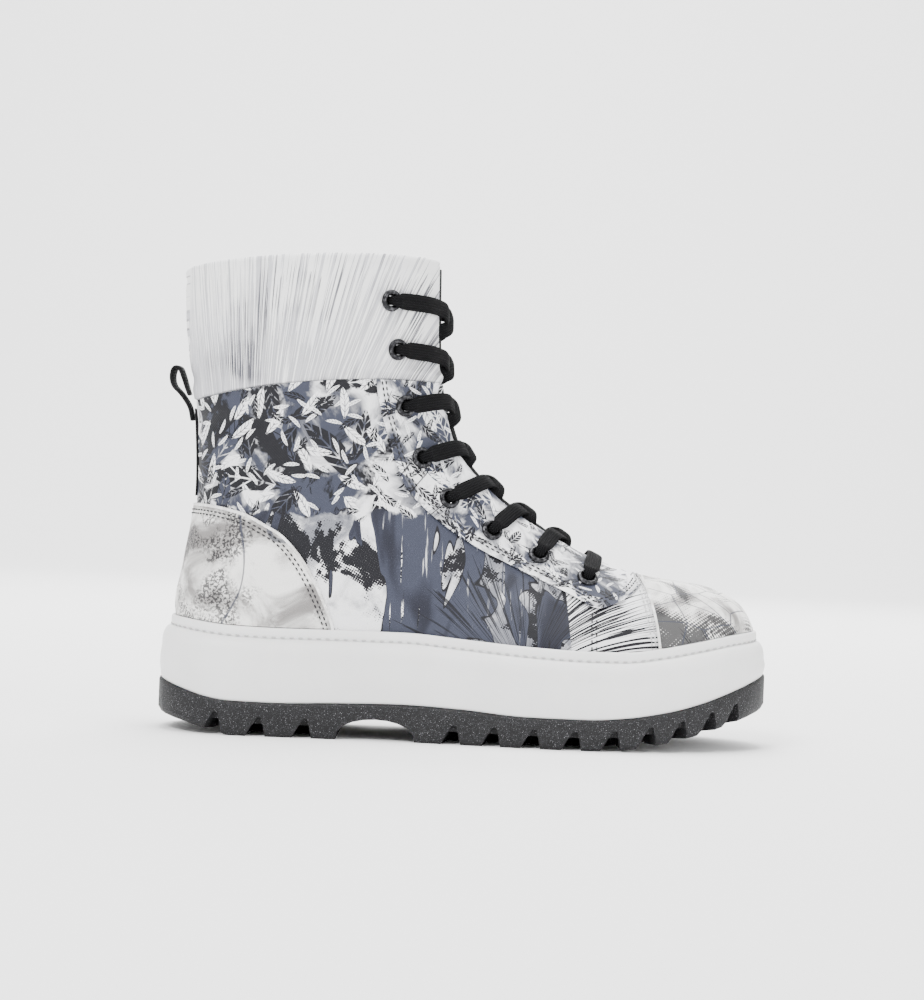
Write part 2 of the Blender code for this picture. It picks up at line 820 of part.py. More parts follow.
def groove_cutters(into):
    """Cutters of the tread: the gaps of the side lugs and of the centre lugs, the arch."""
    profile = centre_gap_profile(TREAD_DEPTH * 0.92)
    for number, share in enumerate(CENTRE_GAPS):
        x = sole_x(share)
        ends = [Vector((x, lug_row_edge(x, side), tread_height(x))) for side in (LATERAL, MEDIAL)]
        straight_cutter(f"centre gap {number}", profile, *ends, Vector((1, 0, 0)), into)
    for side in (LATERAL, MEDIAL):
        side_gaps(side, into)
        for first, last in ((0.085, 0.285), (0.450, 0.905)):
            channel(side, first, last, into)
    arch_cutter(into)


def channel(side, first, last, into):
    """Groove between the side lugs and the centre lugs, along the sole."""
    profile = centre_gap_profile(TREAD_DEPTH * 0.86)
    rings = []
    for i in range(9):
        x = sole_x(first + (last - first) * i / 8)
        place = Vector((x, lug_row_edge(x, side), tread_height(x)))
        rings.append(profile_ring(profile, place, Vector((0, 1, 0))))
    as_cutter(add_object("channel", closed_mesh("channel", rings), into))


def arch_cutter(into):
    """The flat arch that is cut right through the sole under the instep."""
    count = 10
    shape = []
    for i in range(count + 1):
        turn = math.pi * i / count
        share = ARCH_START + (ARCH_END - ARCH_START) * (1 - math.cos(turn)) / 2
        shape.append((sole_x(share), ARCH_HEIGHT * max(math.sin(turn), 0) ** 0.8))
    shape = [(shape[0][0], BELOW)] + shape + [(shape[-1][0], BELOW)]
    rings = [[Vector((x, y, z)) for x, z in shape] for y in (-REACH, REACH)]
    as_cutter(add_object("arch", closed_mesh("arch", rings), into))


def make_outsole(finish, into, cutters):
    levels = (
        (SOLE_SEAM_STEP, outsole_top),
        (0.0, lambda x: outsole_top(x) - SOLE_SEAM_STEP),
        (0.0, lambda x: tread_height(x) + 0.0022),
        (0.0014, tread_height),
    )
    made = ring_body("outsole", levels, finish, into)
    cut_away(made, cutters)
    return made


def on_cuff(number):
    """Whether an eyelet is in the cuff, above the eyestay."""
    return number >= len(EYELETS) - CUFF_EYELETS


def panel_top(number):
    """Height above the last of the panel that an eyelet sits in."""
    return GAP if on_cuff(number) else OVERLAY_GAP + OVERLAY


def eyelet_place(number, side):
    """Matrix that sets an eyelet on the upper or the cuff, its axis along the normal."""
    station, from_edge = EYELETS[number]
    run = throat_edge(station) + from_edge * THROAT_TOP
    point, normal = on_last(station, run, side, panel_top(number))
    turn = normal.to_track_quat("Z", "Y").to_matrix().to_4x4()
    return Matrix.Translation(point) @ turn


def hole_cutters(into):
    """One cutter for the holes of all the eyelets."""
    mesh = bpy.data.meshes.new("eyelet holes")
    work = bmesh.new()
    radius = EYELET_BARREL + GAP
    for side in (LATERAL, MEDIAL):
        for number in range(len(EYELETS)):
            place = eyelet_place(number, side)
            sizes = {"segments": ROUND_SIDES, "radius1": radius, "radius2": radius, "depth": 0.016}
            bmesh.ops.create_cone(work, cap_ends=True, matrix=place, **sizes)
    work.to_mesh(mesh)
    work.free()
    return as_cutter(add_object("eyelet holes", mesh, into))


def eyelet_profile(depth):
    """Half outline of an eyelet, its flange on top and its barrel through the wall."""
    return (
        (EYELET_BORE, -depth),
        (EYELET_BARREL, -depth),
        (EYELET_BARREL, EYELET_LIFT),
        (EYELET_RADIUS, EYELET_LIFT),
        (EYELET_RADIUS - 0.0003, EYELET_LIFT + EYELET_HEIGHT * 0.7),
        ((EYELET_RADIUS + EYELET_BORE) / 2, EYELET_LIFT + EYELET_HEIGHT),
        (EYELET_BORE, EYELET_LIFT + EYELET_HEIGHT * 0.6),
    )


def make_eyelet(number, side, finish, into):
    name = f"eyelet_{'lateral' if side == LATERAL else 'medial'}_{number + 1}"
    depth = CUFF_WALL if on_cuff(number) else WALL + OVERLAY
    profile = eyelet_profile(depth)
    points = [Vector((radius, 0, z)) for radius, z in profile[::-1]]
    mesh = bpy.data.meshes.new(name)
    edges = [(i, (i + 1) % len(points)) for i in range(len(points))]
    mesh.from_pydata(points, edges, [])
    made = add_object(name, mesh, into, finish)
    turned = made.modifiers.new("turned", "SCREW")
    turned.steps = turned.render_steps = ROUND_SIDES
    turned.use_merge_vertices = True
    turned.merge_threshold = 0.00001
    turned.use_smooth_shade = True
    made.matrix_world = eyelet_place(number, side)
    return made


def lace_strap(name, places, lift, into, finish):
    """Flat lace on the last through places, each a station and a signed run."""
    points = []
    for i, (station, run) in enumerate(places):
        middle, normal = on_last(station, run, MEDIAL, lift)
        before, _ = on_last(*places[max(i - 1, 0)], MEDIAL, lift)
        after, _ = on_last(*places[min(i + 1, len(places) - 1)], MEDIAL, lift)
        sideways = normal.cross(after - before).normalized() * LACE_WIDTH / 2
        points += [middle - sideways, middle + sideways]
    made = add_object(name, mesh_from(name, points, grid_faces(len(places), 2, flip=True)), into, finish)
    return thicken(made, LACE_THICKNESS)


def beside_eyelet(number):
    """Run from the ridge to where a lace leaves an eyelet's flange."""
    station, from_edge = EYELETS[number]
    return throat_edge(station) + from_edge * THROAT_TOP - LACE_END


def make_laces(finish, into, helpers):
    """The straight bar at the lowest eyelets, then a crossing above each pair."""
    above = LACE_CLEARANCE + LACE_THICKNESS
    low, first = EYELETS[0][0], beside_eyelet(0)
    bar = [(low, first * share) for share in (-1, -0.6, -0.2, 0.2, 0.6, 1)]
    lace_strap("lace_bar", bar, panel_top(0) + above, into, finish)
    for number in range(1, len(EYELETS)):
        station = EYELETS[number][0]
        below = station + (EYELETS[number - 1][0] - station) * LACE_REACH_DOWN
        edge = throat_edge(station)
        far = throat_edge(below) - LACE_CLEARANCE
        parts = []
        for side, holder in ((LATERAL, into), (MEDIAL, helpers)):
            places = [(station, side * run) for run in (beside_eyelet(number), edge + 0.006, edge)]
            for step in range(1, 7):
                way = step / 6
                run = edge - (edge + far) * way
                places.append((station + (below - station) * way, side * run))
            raised = panel_top(number) + above + (0 if side == LATERAL else LACE_STEP)
            name = f"lace_cross_{number}" if side == LATERAL else f"lace over {number}"
            parts.append(lace_strap(name, places, raised, holder, finish))
        as_cutter(parts[1])
        cut_with(parts[0], parts[1], "UNION")


def make_tongue(finish, into):
    top = COLLAR_STATION - TONGUE_DROP / (UPPER_HEIGHT * (LAST[-1][1] - LAST[-2][1]))
    low = THROAT_STATION - 0.8
    count = 11
    stations = [low + (top - low) * i / count for i in range(count + 1)]

    def half(station, side):
        way = (station - low) / (top - low)
        return TONGUE_HALF_LOW + (TONGUE_HALF_TOP - TONGUE_HALF_LOW) * way

    points, faces = [], []
    columns = 6
    for side, flip in ((LATERAL, False), (MEDIAL, True)):
        start = len(points)
        for station in stations:
            way = min(max((station - low) / 3.0, 0.0), 1.0)
            thick = CUFF_WALL - WALL if station > SEAM_STATION - 1.2 else 0.0
            lift = -(WALL + thick + GAP + TONGUE_SLACK * way)
            for j in range(columns):
                run = half(station, side) * j / (columns - 1)
                points.append(on_last(station, run, side, lift)[0])
        faces += grid_faces(len(stations), columns, start=start, flip=flip)
    made = add_object("tongue", mesh_from("tongue", points, faces), into, finish)
    thicken(made, TONGUE_THICKNESS)
    made.data.shade_smooth()
    return made


def make_back_tape(finish, into):
    """Tape over the back seam from the counter's top to the cuff."""
    stations = [15.94 + (SEAM_STATION - 0.12 - 15.94) * i / 5 for i in range(6)]

    def start(station):
        return section_length(station, LATERAL) - TAPE_WIDTH / 2

    def end(station, side):
        return section_length(station, side)

    lift = GAP + TAPE_THICKNESS
    points, faces = last_sheet(stations, start, end, lift=lift, columns=4)
    made = add_object("back_tape", mesh_from("back_tape", points, faces), into, finish)
    thicken(made, TAPE_THICKNESS)
    return made


def make_pull_loop(finish, into):
    """Flat tape folded to a loop, sewn over the top of the back tape."""
    middle = middle_line(sole_x(0))
    points = []
    for x, z in PULL_LOOP:
        for y in (-LOOP_WIDTH / 2, LOOP_WIDTH / 2):
            points.append(Vector((sole_x(x) - LOOP_THICKNESS, middle + y, above_platform(z))))
    mesh = mesh_from("pull_loop", points, grid_faces(len(PULL_LOOP), 2))
    made = add_object("pull_loop", mesh, into, finish)
    thicken(made, LOOP_THICKNESS)
    return made


def clear_scene():
    for old in list(bpy.data.objects):
        bpy.data.objects.remove(old)


def main():
    clear_scene()
    boot = collection("boot")
    cutters = collection("cutters")
    tread = collection("tread cutters")
    print_cloth = material("printed cloth", (0.62, 0.63, 0.66), 0.75)
    cuff_cloth = material("cuff cloth", (0.86, 0.86, 0.86), 0.7)
    white_rubber = material("white foam", (0.88, 0.88, 0.87), 0.45)
    black_rubber = material("speckled rubber", (0.035, 0.035, 0.037), 0.6)
    black_cloth = material("black webbing", (0.012, 0.012, 0.013), 0.85)
    black_metal = material("black enamel", (0.03, 0.03, 0.032), 0.3, 0.6)
    lining = material("lining", (0.05, 0.05, 0.05), 0.9)

    holes = hole_cutters(cutters)
    groove_cutters(tread)
    make_outsole(black_rubber, boot, tread)
    make_midsole(white_rubber, boot)
    make_insole(lining, boot)
    make_upper(print_cloth, boot, holes)
    make_cuff(cuff_cloth, boot, holes)
    make_tongue(black_cloth, boot)

    rim = as_cutter(ring_body("rim", RIM_CUTTER, None, cutters))
    counter = side_prism("counter outline", COUNTER_EDGE, ((-0.1, 0.322), (-0.1, -0.030)), cutters)
    stay = side_prism("eyestay outline", EYESTAY_EDGE, ((0.9, 0.190), (0.9, 0.680)), cutters)
    cap = side_prism("cap outline", CAP_EDGE, ((1.2, -0.040), (1.2, 0.185)), cutters)

    heel = last_sheet(stations_between(9, SEAM_STATION), throat_edge, section_length, skip=5)
    make_end_overlay("heel_counter", heel, away_from_heel, counter, rim, print_cloth, boot)
    toe = last_sheet(stations_between(0, THROAT_STATION), throat_edge, section_length)
    make_end_overlay("toe_cap", toe, away_from_toe, cap, rim, print_cloth, boot)
    stay_rows = stations_between(THROAT_STATION - 1, SEAM_STATION)
    stay_rows[-1] = SEAM_STATION - 0.02
    make_overlay("eyestay", stay_rows, throat_edge, stay, rim, print_cloth, boot, holes)
    make_back_tape(black_cloth, boot)
    make_pull_loop(black_cloth, boot)
    for side in (LATERAL, MEDIAL):
        for number in range(len(EYELETS)):
            make_eyelet(number, side, black_metal, boot)
    make_laces(black_cloth, boot, cutters)


main()
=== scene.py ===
"""Looks of the platform lace-up boot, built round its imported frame.

Metres, +Z up, toe towards +X, outer side of the foot towards -Y. The shapes come from
the same last as the solids: on_last gives a place on it from a station, which counts the
sections of the table LAST from the toe to the collar, and a run, the way along the
section from its ridge.
"""

import contextlib
import functools
import math

import bmesh
import bpy
from mathutils import Matrix, Vector, noise
from mathutils.bvhtree import BVHTree


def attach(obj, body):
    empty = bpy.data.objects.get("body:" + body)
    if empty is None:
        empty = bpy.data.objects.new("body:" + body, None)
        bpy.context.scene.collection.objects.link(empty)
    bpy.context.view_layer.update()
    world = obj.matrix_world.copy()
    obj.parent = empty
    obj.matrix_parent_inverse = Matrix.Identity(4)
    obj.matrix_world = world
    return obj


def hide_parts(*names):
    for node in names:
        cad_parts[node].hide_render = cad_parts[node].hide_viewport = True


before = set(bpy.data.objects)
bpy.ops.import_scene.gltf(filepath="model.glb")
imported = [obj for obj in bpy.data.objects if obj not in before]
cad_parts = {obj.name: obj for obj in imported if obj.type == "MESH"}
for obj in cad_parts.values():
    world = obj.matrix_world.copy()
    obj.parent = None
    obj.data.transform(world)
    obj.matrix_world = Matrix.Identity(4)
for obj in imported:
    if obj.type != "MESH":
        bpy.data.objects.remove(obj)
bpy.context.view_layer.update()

# Sizes of the sole, as in the solids
SOLE_LENGTH = 0.291
SOLE_WIDTH = 0.106
PLATFORM_HEIGHT = 0.0505
OUTSOLE_THICKNESS = 0.016
RIM_HEIGHT = 0.0055
RIM_THICKNESS = 0.0018
SHOULDER_HEIGHT = 0.0075
CUP_DEPTH = 0.0056
TOE_SWING = 0.0045
HEEL_ROUND = 0.150
TOE_ROUND = 0.270

# Sizes of the upper, as in the solids
UPPER_HEIGHT = 0.1745
UPPER_INSET = 0.0078
SHAFT_WIDTH = 0.095
HEEL_CUP_HEIGHT = 0.060
WIDEST_ON_SHAFT = 0.40
WALL = 0.0026
CUFF_WALL = 0.0040
OVERLAY = 0.0011
OVERLAY_GAP = 0.0003
OVERLAY_TOP = OVERLAY_GAP + OVERLAY
THROAT_LOW = 0.0080
THROAT_TOP = 0.0125
TONGUE_THICKNESS = 0.0036
TONGUE_HALF_LOW = 0.0150
TONGUE_HALF_TOP = 0.0255
TONGUE_SLACK = 0.0018
TONGUE_DROP = 0.0030
INSOLE_THICKNESS = 0.0040
TAPE_WIDTH = 0.0095
TAPE_THICKNESS = 0.0008
LOOP_WIDTH = 0.0110
LOOP_THICKNESS = 0.0014
EYELET_RADIUS = 0.0051
EYELET_BORE = 0.0026
LACE_WIDTH = 0.0080
LACE_THICKNESS = 0.0021
GAP = 0.0003
CUP_GAP = 0.0005
HEEL_CORE_X = -0.100
TOE_CORE_X = 0.095
REACH = 0.2

# Fineness of the meshes
CLOTH_STEP = 0.0021
CLOTH_COLUMNS = 64
SOLE_STATIONS = 130
SEAM_STEP = 0.0016

# Sewing
STITCH_LENGTH = 0.0021
STITCH_PITCH = 0.0028
THREAD = 0.00042

# Rows of stitches: how far they lie from their edge, and the vamp seam's two places
COUNTER_ROWS = (0.0024, 0.0042)
STAY_ROWS = (-0.0022, -0.0040)
CAP_ROWS = (0.0022, 0.0040)
VAMP_SEAM_X = (0.0590, 0.0612)
STITCH_LIFT = 0.0002

LATERAL = -1
MEDIAL = 1
SIDES = (LATERAL, MEDIAL)
SIDE_WORDS = {LATERAL: "lateral", MEDIAL: "medial"}

# Half widths of the sole before its ends are rounded, as shares of SOLE_WIDTH.
FOOTPRINT = (
    # along, lateral, medial
    (0.00, 0.398, 0.380),
    (0.15, 0.400, 0.384),
    (0.30, 0.400, 0.372),
    (0.42, 0.414, 0.366),
    (0.55, 0.462, 0.412),
    (0.66, 0.500, 0.468),
    (0.75, 0.508, 0.500),
    (0.84, 0.496, 0.512),
    (0.92, 0.470, 0.500),
    (1.00, 0.440, 0.480),
)

# Heights along the sole: the rim and the outsole's top as shares of PLATFORM_HEIGHT and
# OUTSOLE_THICKNESS.
SOLE_LINES = (
    # along, rim, outsole top
    (0.000, 1.080, 1.520),
    (0.045, 1.055, 1.290),
    (0.090, 1.025, 1.080),
    (0.125, 1.010, 1.000),
    (0.200, 1.000, 0.975),
    (0.300, 1.003, 1.035),
    (0.400, 1.003, 1.070),
    (0.500, 0.965, 1.010),
    (0.600, 0.925, 0.885),
    (0.700, 0.905, 0.880),
    (0.760, 0.910, 0.960),
    (0.820, 0.955, 1.130),
    (0.880, 1.020, 1.400),
    (0.940, 1.085, 1.790),
    (1.000, 1.125, 2.230),
)

# The last, one section a row. Each runs from a foot point, on the rim or on the back of
# the boot, up and forward to a ridge point on the middle line of its front. x is a share
# of SOLE_LENGTH from the heel, z a share of UPPER_HEIGHT above the platform, half the
# greatest half width as a share of SHAFT_WIDTH, widest the place of that width from foot
# to ridge, dome the power of the arch over it, bow how far the section's line is crowned,
# lag how late it leaves the back of the boot for the front as it rises.
LAST = (
    # ridge x, ridge z, foot x, foot z, half, widest, dome, bow, lag
    (0.9732, 0.0344, 0.9732, 0.0344, 0.000, 0.00, 2.30, 0.000, 1.00),
    (0.9610, 0.0752, 0.9610, 0.0325, 0.000, 0.00, 2.30, 0.000, 1.00),
    (0.9478, 0.1010, 0.9478, 0.0300, 0.000, 0.00, 2.30, 0.000, 1.00),
    (0.9262, 0.1228, 0.9262, 0.0260, 0.000, 0.00, 2.30, 0.000, 1.00),
    (0.8935, 0.1422, 0.8935, 0.0150, 0.000, 0.00, 2.25, 0.000, 1.00),
    (0.8522, 0.1520, 0.8522, 0.0000, 0.000, 0.00, 2.20, 0.000, 1.00),
    (0.8076, 0.1616, 0.8040, -0.015, 0.000, 0.00, 2.15, 0.000, 1.00),
    (0.7612, 0.1760, 0.7423, -0.025, 0.050, 0.00, 2.05, 0.000, 1.00),
    (0.7148, 0.2034, 0.6667, -0.025, 0.180, 0.00, 1.95, 0.000, 1.00),
    (0.6598, 0.2510, 0.5704, -0.020, 0.330, 0.01, 1.85, 0.000, 1.00),
    (0.6048, 0.3080, 0.4467, -0.005, 0.392, 0.08, 1.80, 0.000, 1.00),
    (0.5567, 0.3633, 0.2955, 0.0000, 0.398, 0.24, 1.85, 0.000, 1.20),
    (0.5172, 0.4230, 0.1375, 0.0060, 0.393, 0.40, 1.95, 0.000, 1.50),
    (0.4983, 0.4585, 0.0619, 0.0130, 0.390, 0.45, 2.00, 0.000, 1.80),
    (0.4828, 0.4957, 0.0268, 0.0195, 0.388, 0.47, 2.00, 0.000, 1.90),
    (0.4691, 0.5530, 0.0368, 0.1633, 0.392, 0.48, 2.00, 0.000, 1.50),
    (0.4598, 0.6103, 0.0509, 0.3582, 0.402, 0.50, 2.05, 0.008, 1.15),
    (0.4515, 0.6762, 0.0433, 0.6074, 0.440, 0.50, 2.10, 0.024, 1.00),
    (0.4481, 0.7307, 0.0323, 0.7020, 0.458, 0.50, 2.10, 0.020, 1.00),
    (0.4450, 0.8338, 0.0234, 0.8166, 0.480, 0.50, 2.10, 0.014, 1.00),
    (0.4423, 1.0029, 0.0189, 0.9542, 0.500, 0.50, 2.10, 0.010, 1.00),
)
THROAT_STATION = 8
HEEL_STATION = 14
SEAM_STATION = 17
COLLAR_STATION = 20

# Eyelets from the lowest to the highest: their station on the last and their distance
# from the throat's edge as a share of THROAT_TOP.
EYELETS = (
    # station, from the edge
    (8.17, 1.97),
    (9.40, 1.50),
    (10.55, 1.55),
    (11.77, 1.89),
    (14.18, 1.80),
    (16.32, 2.12),
    (18.24, 2.38),
    (19.29, 2.72),
)
CUFF_EYELETS = 2

# Outlines seen from the side. x is a share of SOLE_LENGTH from the heel, z a share of
# UPPER_HEIGHT above the platform.
COUNTER_EDGE = (
    # x, z
    (0.286, -0.030),
    (0.288, 0.006),
    (0.270, 0.080),
    (0.252, 0.140),
    (0.231, 0.193),
    (0.203, 0.243),
    (0.176, 0.270),
    (0.141, 0.298),
    (0.101, 0.313),
    (0.066, 0.320),
    (0.030, 0.322),
)
EYESTAY_EDGE = (
    # x, z
    (0.343, 0.680),
    (0.353, 0.594),
    (0.383, 0.440),
    (0.406, 0.372),
    (0.460, 0.293),
    (0.518, 0.233),
    (0.579, 0.185),
    (0.653, 0.131),
    (0.682, 0.108),
    (0.702, 0.090),
    (0.724, 0.090),
    (0.768, 0.126),
    (0.800, 0.190),
)
CAP_EDGE = (
    # x, z
    (0.778, 0.185),
    (0.790, 0.145),
    (0.800, 0.090),
    (0.808, 0.030),
    (0.814, -0.040),
)
PULL_LOOP = (
    # x, z
    (0.0405, 0.552),
    (0.0355, 0.588),
    (0.0220, 0.622),
    (0.0085, 0.646),
    (0.0050, 0.672),
    (0.0085, 0.694),
    (0.0170, 0.694),
    (0.0232, 0.672),
    (0.0290, 0.644),
    (0.0340, 0.622),
)


def blend(rows, column, at):
    """Value of one column of a table whose first column is the place, on a smooth curve."""
    places = [row[0] for row in rows]
    last = len(rows) - 1
    at = min(max(at, places[0]), places[last])
    k = max(i for i in range(last) if places[i] <= at or i == 0)
    return hermite(places, [row[column] for row in rows], k, at)


def hermite(places, values, k, at):
    """Cubic curve between the values k and k + 1, with no overshoot."""

    def slope(i):
        return (values[i + 1] - values[i]) / (places[i + 1] - places[i])

    def tangent(i):
        if i == 0:
            return slope(0)
        if i == len(values) - 1:
            return slope(i - 1)
        before, after = slope(i - 1), slope(i)
        if before * after <= 0:
            return 0.0
        return 2 * before * after / (before + after)

    step = places[k + 1] - places[k]
    u = (at - places[k]) / step
    rise = values[k + 1] - values[k]
    start, end = tangent(k) * step, tangent(k + 1) * step
    return values[k] + u * start + u * u * (3 * rise - 2 * start - end) + u**3 * (start + end - 2 * rise)


def last_value(column, station):
    """Value of one column of LAST at a station, on a smooth curve through the sections."""
    values = [row[column] for row in LAST]
    k = min(int(station), len(LAST) - 2)
    u = station - k
    before = values[max(k - 1, 0)]
    here, there = values[k], values[k + 1]
    after = values[min(k + 2, len(values) - 1)]
    start, end = (there - before) / 2, (after - here) / 2
    rise = there - here
    return here + u * start + u * u * (3 * rise - 2 * start - end) + u**3 * (start + end - 2 * rise)


def smooth(share):
    """Rise from 0 to 1 that starts and ends level."""
    share = min(max(share, 0.0), 1.0)
    return share * share * (3 - 2 * share)


def sole_x(share):
    """Place along the sole of a share of its length."""
    return (share - 0.5) * SOLE_LENGTH


def above_platform(share):
    """Height of a share of the upper's height above the platform."""
    return PLATFORM_HEIGHT + share * UPPER_HEIGHT


def sole_share(x):
    return x / SOLE_LENGTH + 0.5


def rim_height(x):
    return blend(SOLE_LINES, 1, sole_share(x)) * PLATFORM_HEIGHT


def outsole_top(x):
    return blend(SOLE_LINES, 2, sole_share(x)) * OUTSOLE_THICKNESS


def rounded_end(share, length):
    """Narrowing of an end that is rounded over this share of the length."""
    if share >= length:
        return 1.0
    power = 2.3
    return max(1 - (1 - max(share, 0) / length) ** power, 0) ** (1 / power)


def half_width(x, side, inset):
    """Half width of the sole's outline, drawn in by inset, beside its middle line."""
    share = (x + SOLE_LENGTH / 2 - inset) / (SOLE_LENGTH - 2 * inset)
    plain = blend(FOOTPRINT, 1 if side == LATERAL else 2, share) * SOLE_WIDTH - inset
    return plain * rounded_end(share, HEEL_ROUND) * rounded_end(1 - share, TOE_ROUND)


def middle_line(x):
    """Sideways place of the foot's middle line, which swings inwards at the toe."""
    forward = max(sole_share(x) - 0.55, 0) / 0.45
    return TOE_SWING * forward**2 + OUTLINE_SHIFT


def widest_reach(side):
    """How far the sole reaches to one side of the foot's middle."""
    places = [sole_x(i / 200) for i in range(201)]
    swing = [TOE_SWING * (max(sole_share(x) - 0.55, 0) / 0.45) ** 2 for x in places]
    return max(side * y + half_width(x, side, 0) for x, y in zip(places, swing))


OUTLINE_SHIFT = (widest_reach(LATERAL) - widest_reach(MEDIAL)) / 2


def outline(inset):
    """Stations of the sole's outline from heel to toe: x, lateral y and medial y."""
    stations = []
    for i in range(SOLE_STATIONS + 1):
        share = (1 - math.cos(math.pi * i / SOLE_STATIONS)) / 2
        x = (share - 0.5) * (SOLE_LENGTH - 2 * inset)
        lateral = middle_line(x) - half_width(x, LATERAL, inset)
        medial = middle_line(x) + half_width(x, MEDIAL, inset)
        stations.append((x, lateral, medial))
    return stations


def section_point(station, share, side):
    """Point of the last on one section, from its foot at 0 to its ridge at 1."""
    station = 0.0 if station < 0.001 else station
    ridge_x, ridge_z, foot_x, foot_z, half, widest, dome, bow, lag = (
        last_value(column, station) for column in range(9)
    )
    foot = Vector((sole_x(foot_x), 0, above_platform(foot_z)))
    ridge = Vector((sole_x(ridge_x), 0, above_platform(ridge_z)))
    on_rim = station <= HEEL_STATION
    if on_rim:
        foot.z = rim_height(foot.x)
    if station <= 0:
        ridge = foot.copy()
    base = half_width(foot.x, side, UPPER_INSET) if on_rim else 0.0
    greatest = base + (half * SHAFT_WIDTH - base) * smooth(widest / WIDEST_ON_SHAFT)
    point = foot.lerp(ridge, share)
    point.z += bow * UPPER_HEIGHT * 4 * share * (1 - share)
    onward = share**lag
    point.x = foot.x + (ridge.x - foot.x) * onward
    if onward < widest:
        out = onward / widest
        round_back = greatest * math.sqrt(max(1 - (1 - (base / greatest) ** 2) * (1 - out) ** 2, 0))
        shift = 0.0 if on_rim else foot.x - sole_x(LAST[HEEL_STATION][2])
        like_sole = half_width(point.x - shift, side, UPPER_INSET)
        rise = (foot.z - rim_height(foot.x)) / HEEL_CUP_HEIGHT
        rounder = 1 - (1 - smooth(out)) * (1 - smooth(rise))
        width = like_sole + (round_back - like_sole) * rounder
    else:
        width = greatest * math.sqrt(max(1 - ((onward - widest) / (1 - widest)) ** dome, 0))
    point.y = middle_line(point.x) + side * width
    return point


@functools.cache
def section_line(station, side):
    """Fine points of a section from its ridge to its foot, with their run along it."""
    count = 60
    points = []
    for i in range(count + 1):
        share = (1 + math.cos(math.pi * i / count)) / 2
        points.append(section_point(station, share, side))
    runs = [0.0]
    for before, after in zip(points, points[1:]):
        runs.append(runs[-1] + (after - before).length)
    return points, runs


def at_run(line, run):
    """Point at a run along a section line."""
    points, runs = line
    for i in range(1, len(runs)):
        if run <= runs[i]:
            step = runs[i] - runs[i - 1]
            u = (run - runs[i - 1]) / step if step > 0 else 0.0
            return points[i - 1].lerp(points[i], u)
    return points[-1].copy()


def on_last(station, run, side, lift=0.0):
    """Point on the last at a run from its ridge, moved out by lift, and its normal."""
    small = 0.0004
    low, high = max(station - 0.02, 0.02), min(station + 0.02, COLLAR_STATION)
    if run < 0:
        run, side = -run, -side
    point = at_run(section_line(station, side), run)
    at_back = station >= HEEL_STATION and run > section_length(station, side) - small
    if station < 0.02:
        normal = Vector((1, 0, 0))
    elif run < small or at_back:
        share = 0 if at_back else 1
        low = max(low, HEEL_STATION) if at_back else low
        along = section_point(high, share, side) - section_point(low, share, side)
        along.y = 0
        normal = Vector((0, -1 if at_back else 1, 0)).cross(along).normalized()
    else:
        across = at_run(section_line(station, side), run - small)
        share = run / section_length(station, side)
        above = at_run(section_line(high, side), share * section_length(high, side))
        along = above - at_run(section_line(low, side), share * section_length(low, side))
        normal = (point - across).cross(along).normalized() * side
    return point + normal * lift, normal


def throat_edge(station):
    """Run from the ridge to the edge of the throat's opening, nothing below the throat."""
    if station <= THROAT_STATION:
        return 0.0
    way = (station - THROAT_STATION) / (COLLAR_STATION - THROAT_STATION)
    open_end = min((station - THROAT_STATION) / 0.6, 1.0)
    width = THROAT_LOW + (THROAT_TOP - THROAT_LOW) * way
    return width * math.sqrt(1 - (1 - open_end) ** 2)


# Creases of the upper, on the outer and the inner side: where their middle is seen from
# the side, their lean from the level, length, width and depth (raised where negative).
CREASES = (
    # x, z, lean, length, width, depth
    (-0.104, 0.1460, 0.10, 0.050, 0.0050, 0.0009),
    (-0.098, 0.1372, 0.22, 0.040, 0.0060, -0.0006),
    (-0.070, 0.1300, 0.30, 0.045, 0.0065, 0.0007),
    (-0.060, 0.1180, 0.42, 0.040, 0.0060, -0.0005),
    (-0.036, 0.0960, -0.55, 0.036, 0.0060, 0.0006),
    (-0.020, 0.0800, -0.60, 0.034, 0.0055, -0.0005),
    (0.046, 0.0640, 1.25, 0.022, 0.0050, 0.0006),
    (0.073, 0.0640, 1.40, 0.024, 0.0050, 0.0005),
)
# Folds of the cuff, in the same columns.
CUFF_FOLDS = (
    # x, z, lean, length, width, depth
    (-0.112, 0.1660, 0.10, 0.060, 0.0032, 0.0018),
    (-0.085, 0.1735, 0.16, 0.050, 0.0030, 0.0007),
    (-0.120, 0.1795, -0.20, 0.034, 0.0040, 0.0006),
    (-0.100, 0.1880, 0.50, 0.030, 0.0040, 0.0005),
    (-0.060, 0.1800, 0.75, 0.030, 0.0045, 0.0005),
    (-0.048, 0.1960, 1.10, 0.030, 0.0050, 0.0006),
    (-0.118, 0.2040, 1.30, 0.026, 0.0045, 0.0004),
)


def rows_between(first, last, step=CLOTH_STEP):
    """Stations of a fine grid's rows, about a step apart on the last."""
    rows = []
    for k in range(first, last):
        here, there = LAST[k], LAST[k + 1]
        ridge = math.hypot((there[0] - here[0]) * SOLE_LENGTH, (there[1] - here[1]) * UPPER_HEIGHT)
        foot = math.hypot((there[2] - here[2]) * SOLE_LENGTH, (there[3] - here[3]) * UPPER_HEIGHT)
        parts = max(round(max(ridge, foot) / step), 2)
        rows += [k + i / parts for i in range(parts)]
    return rows + [last]


def section_length(station, side):
    return section_line(station, side)[1][-1]


def placed(name, data):
    """Object in the scene that holds a mesh, a lamp or a camera."""
    made = bpy.data.objects.new(name, data)
    bpy.context.scene.collection.objects.link(made)
    return made


@contextlib.contextmanager
def edited(mesh):
    """Open a mesh for editing and write it back."""
    work = bmesh.new()
    work.from_mesh(mesh)
    yield work
    work.to_mesh(mesh)
    work.free()


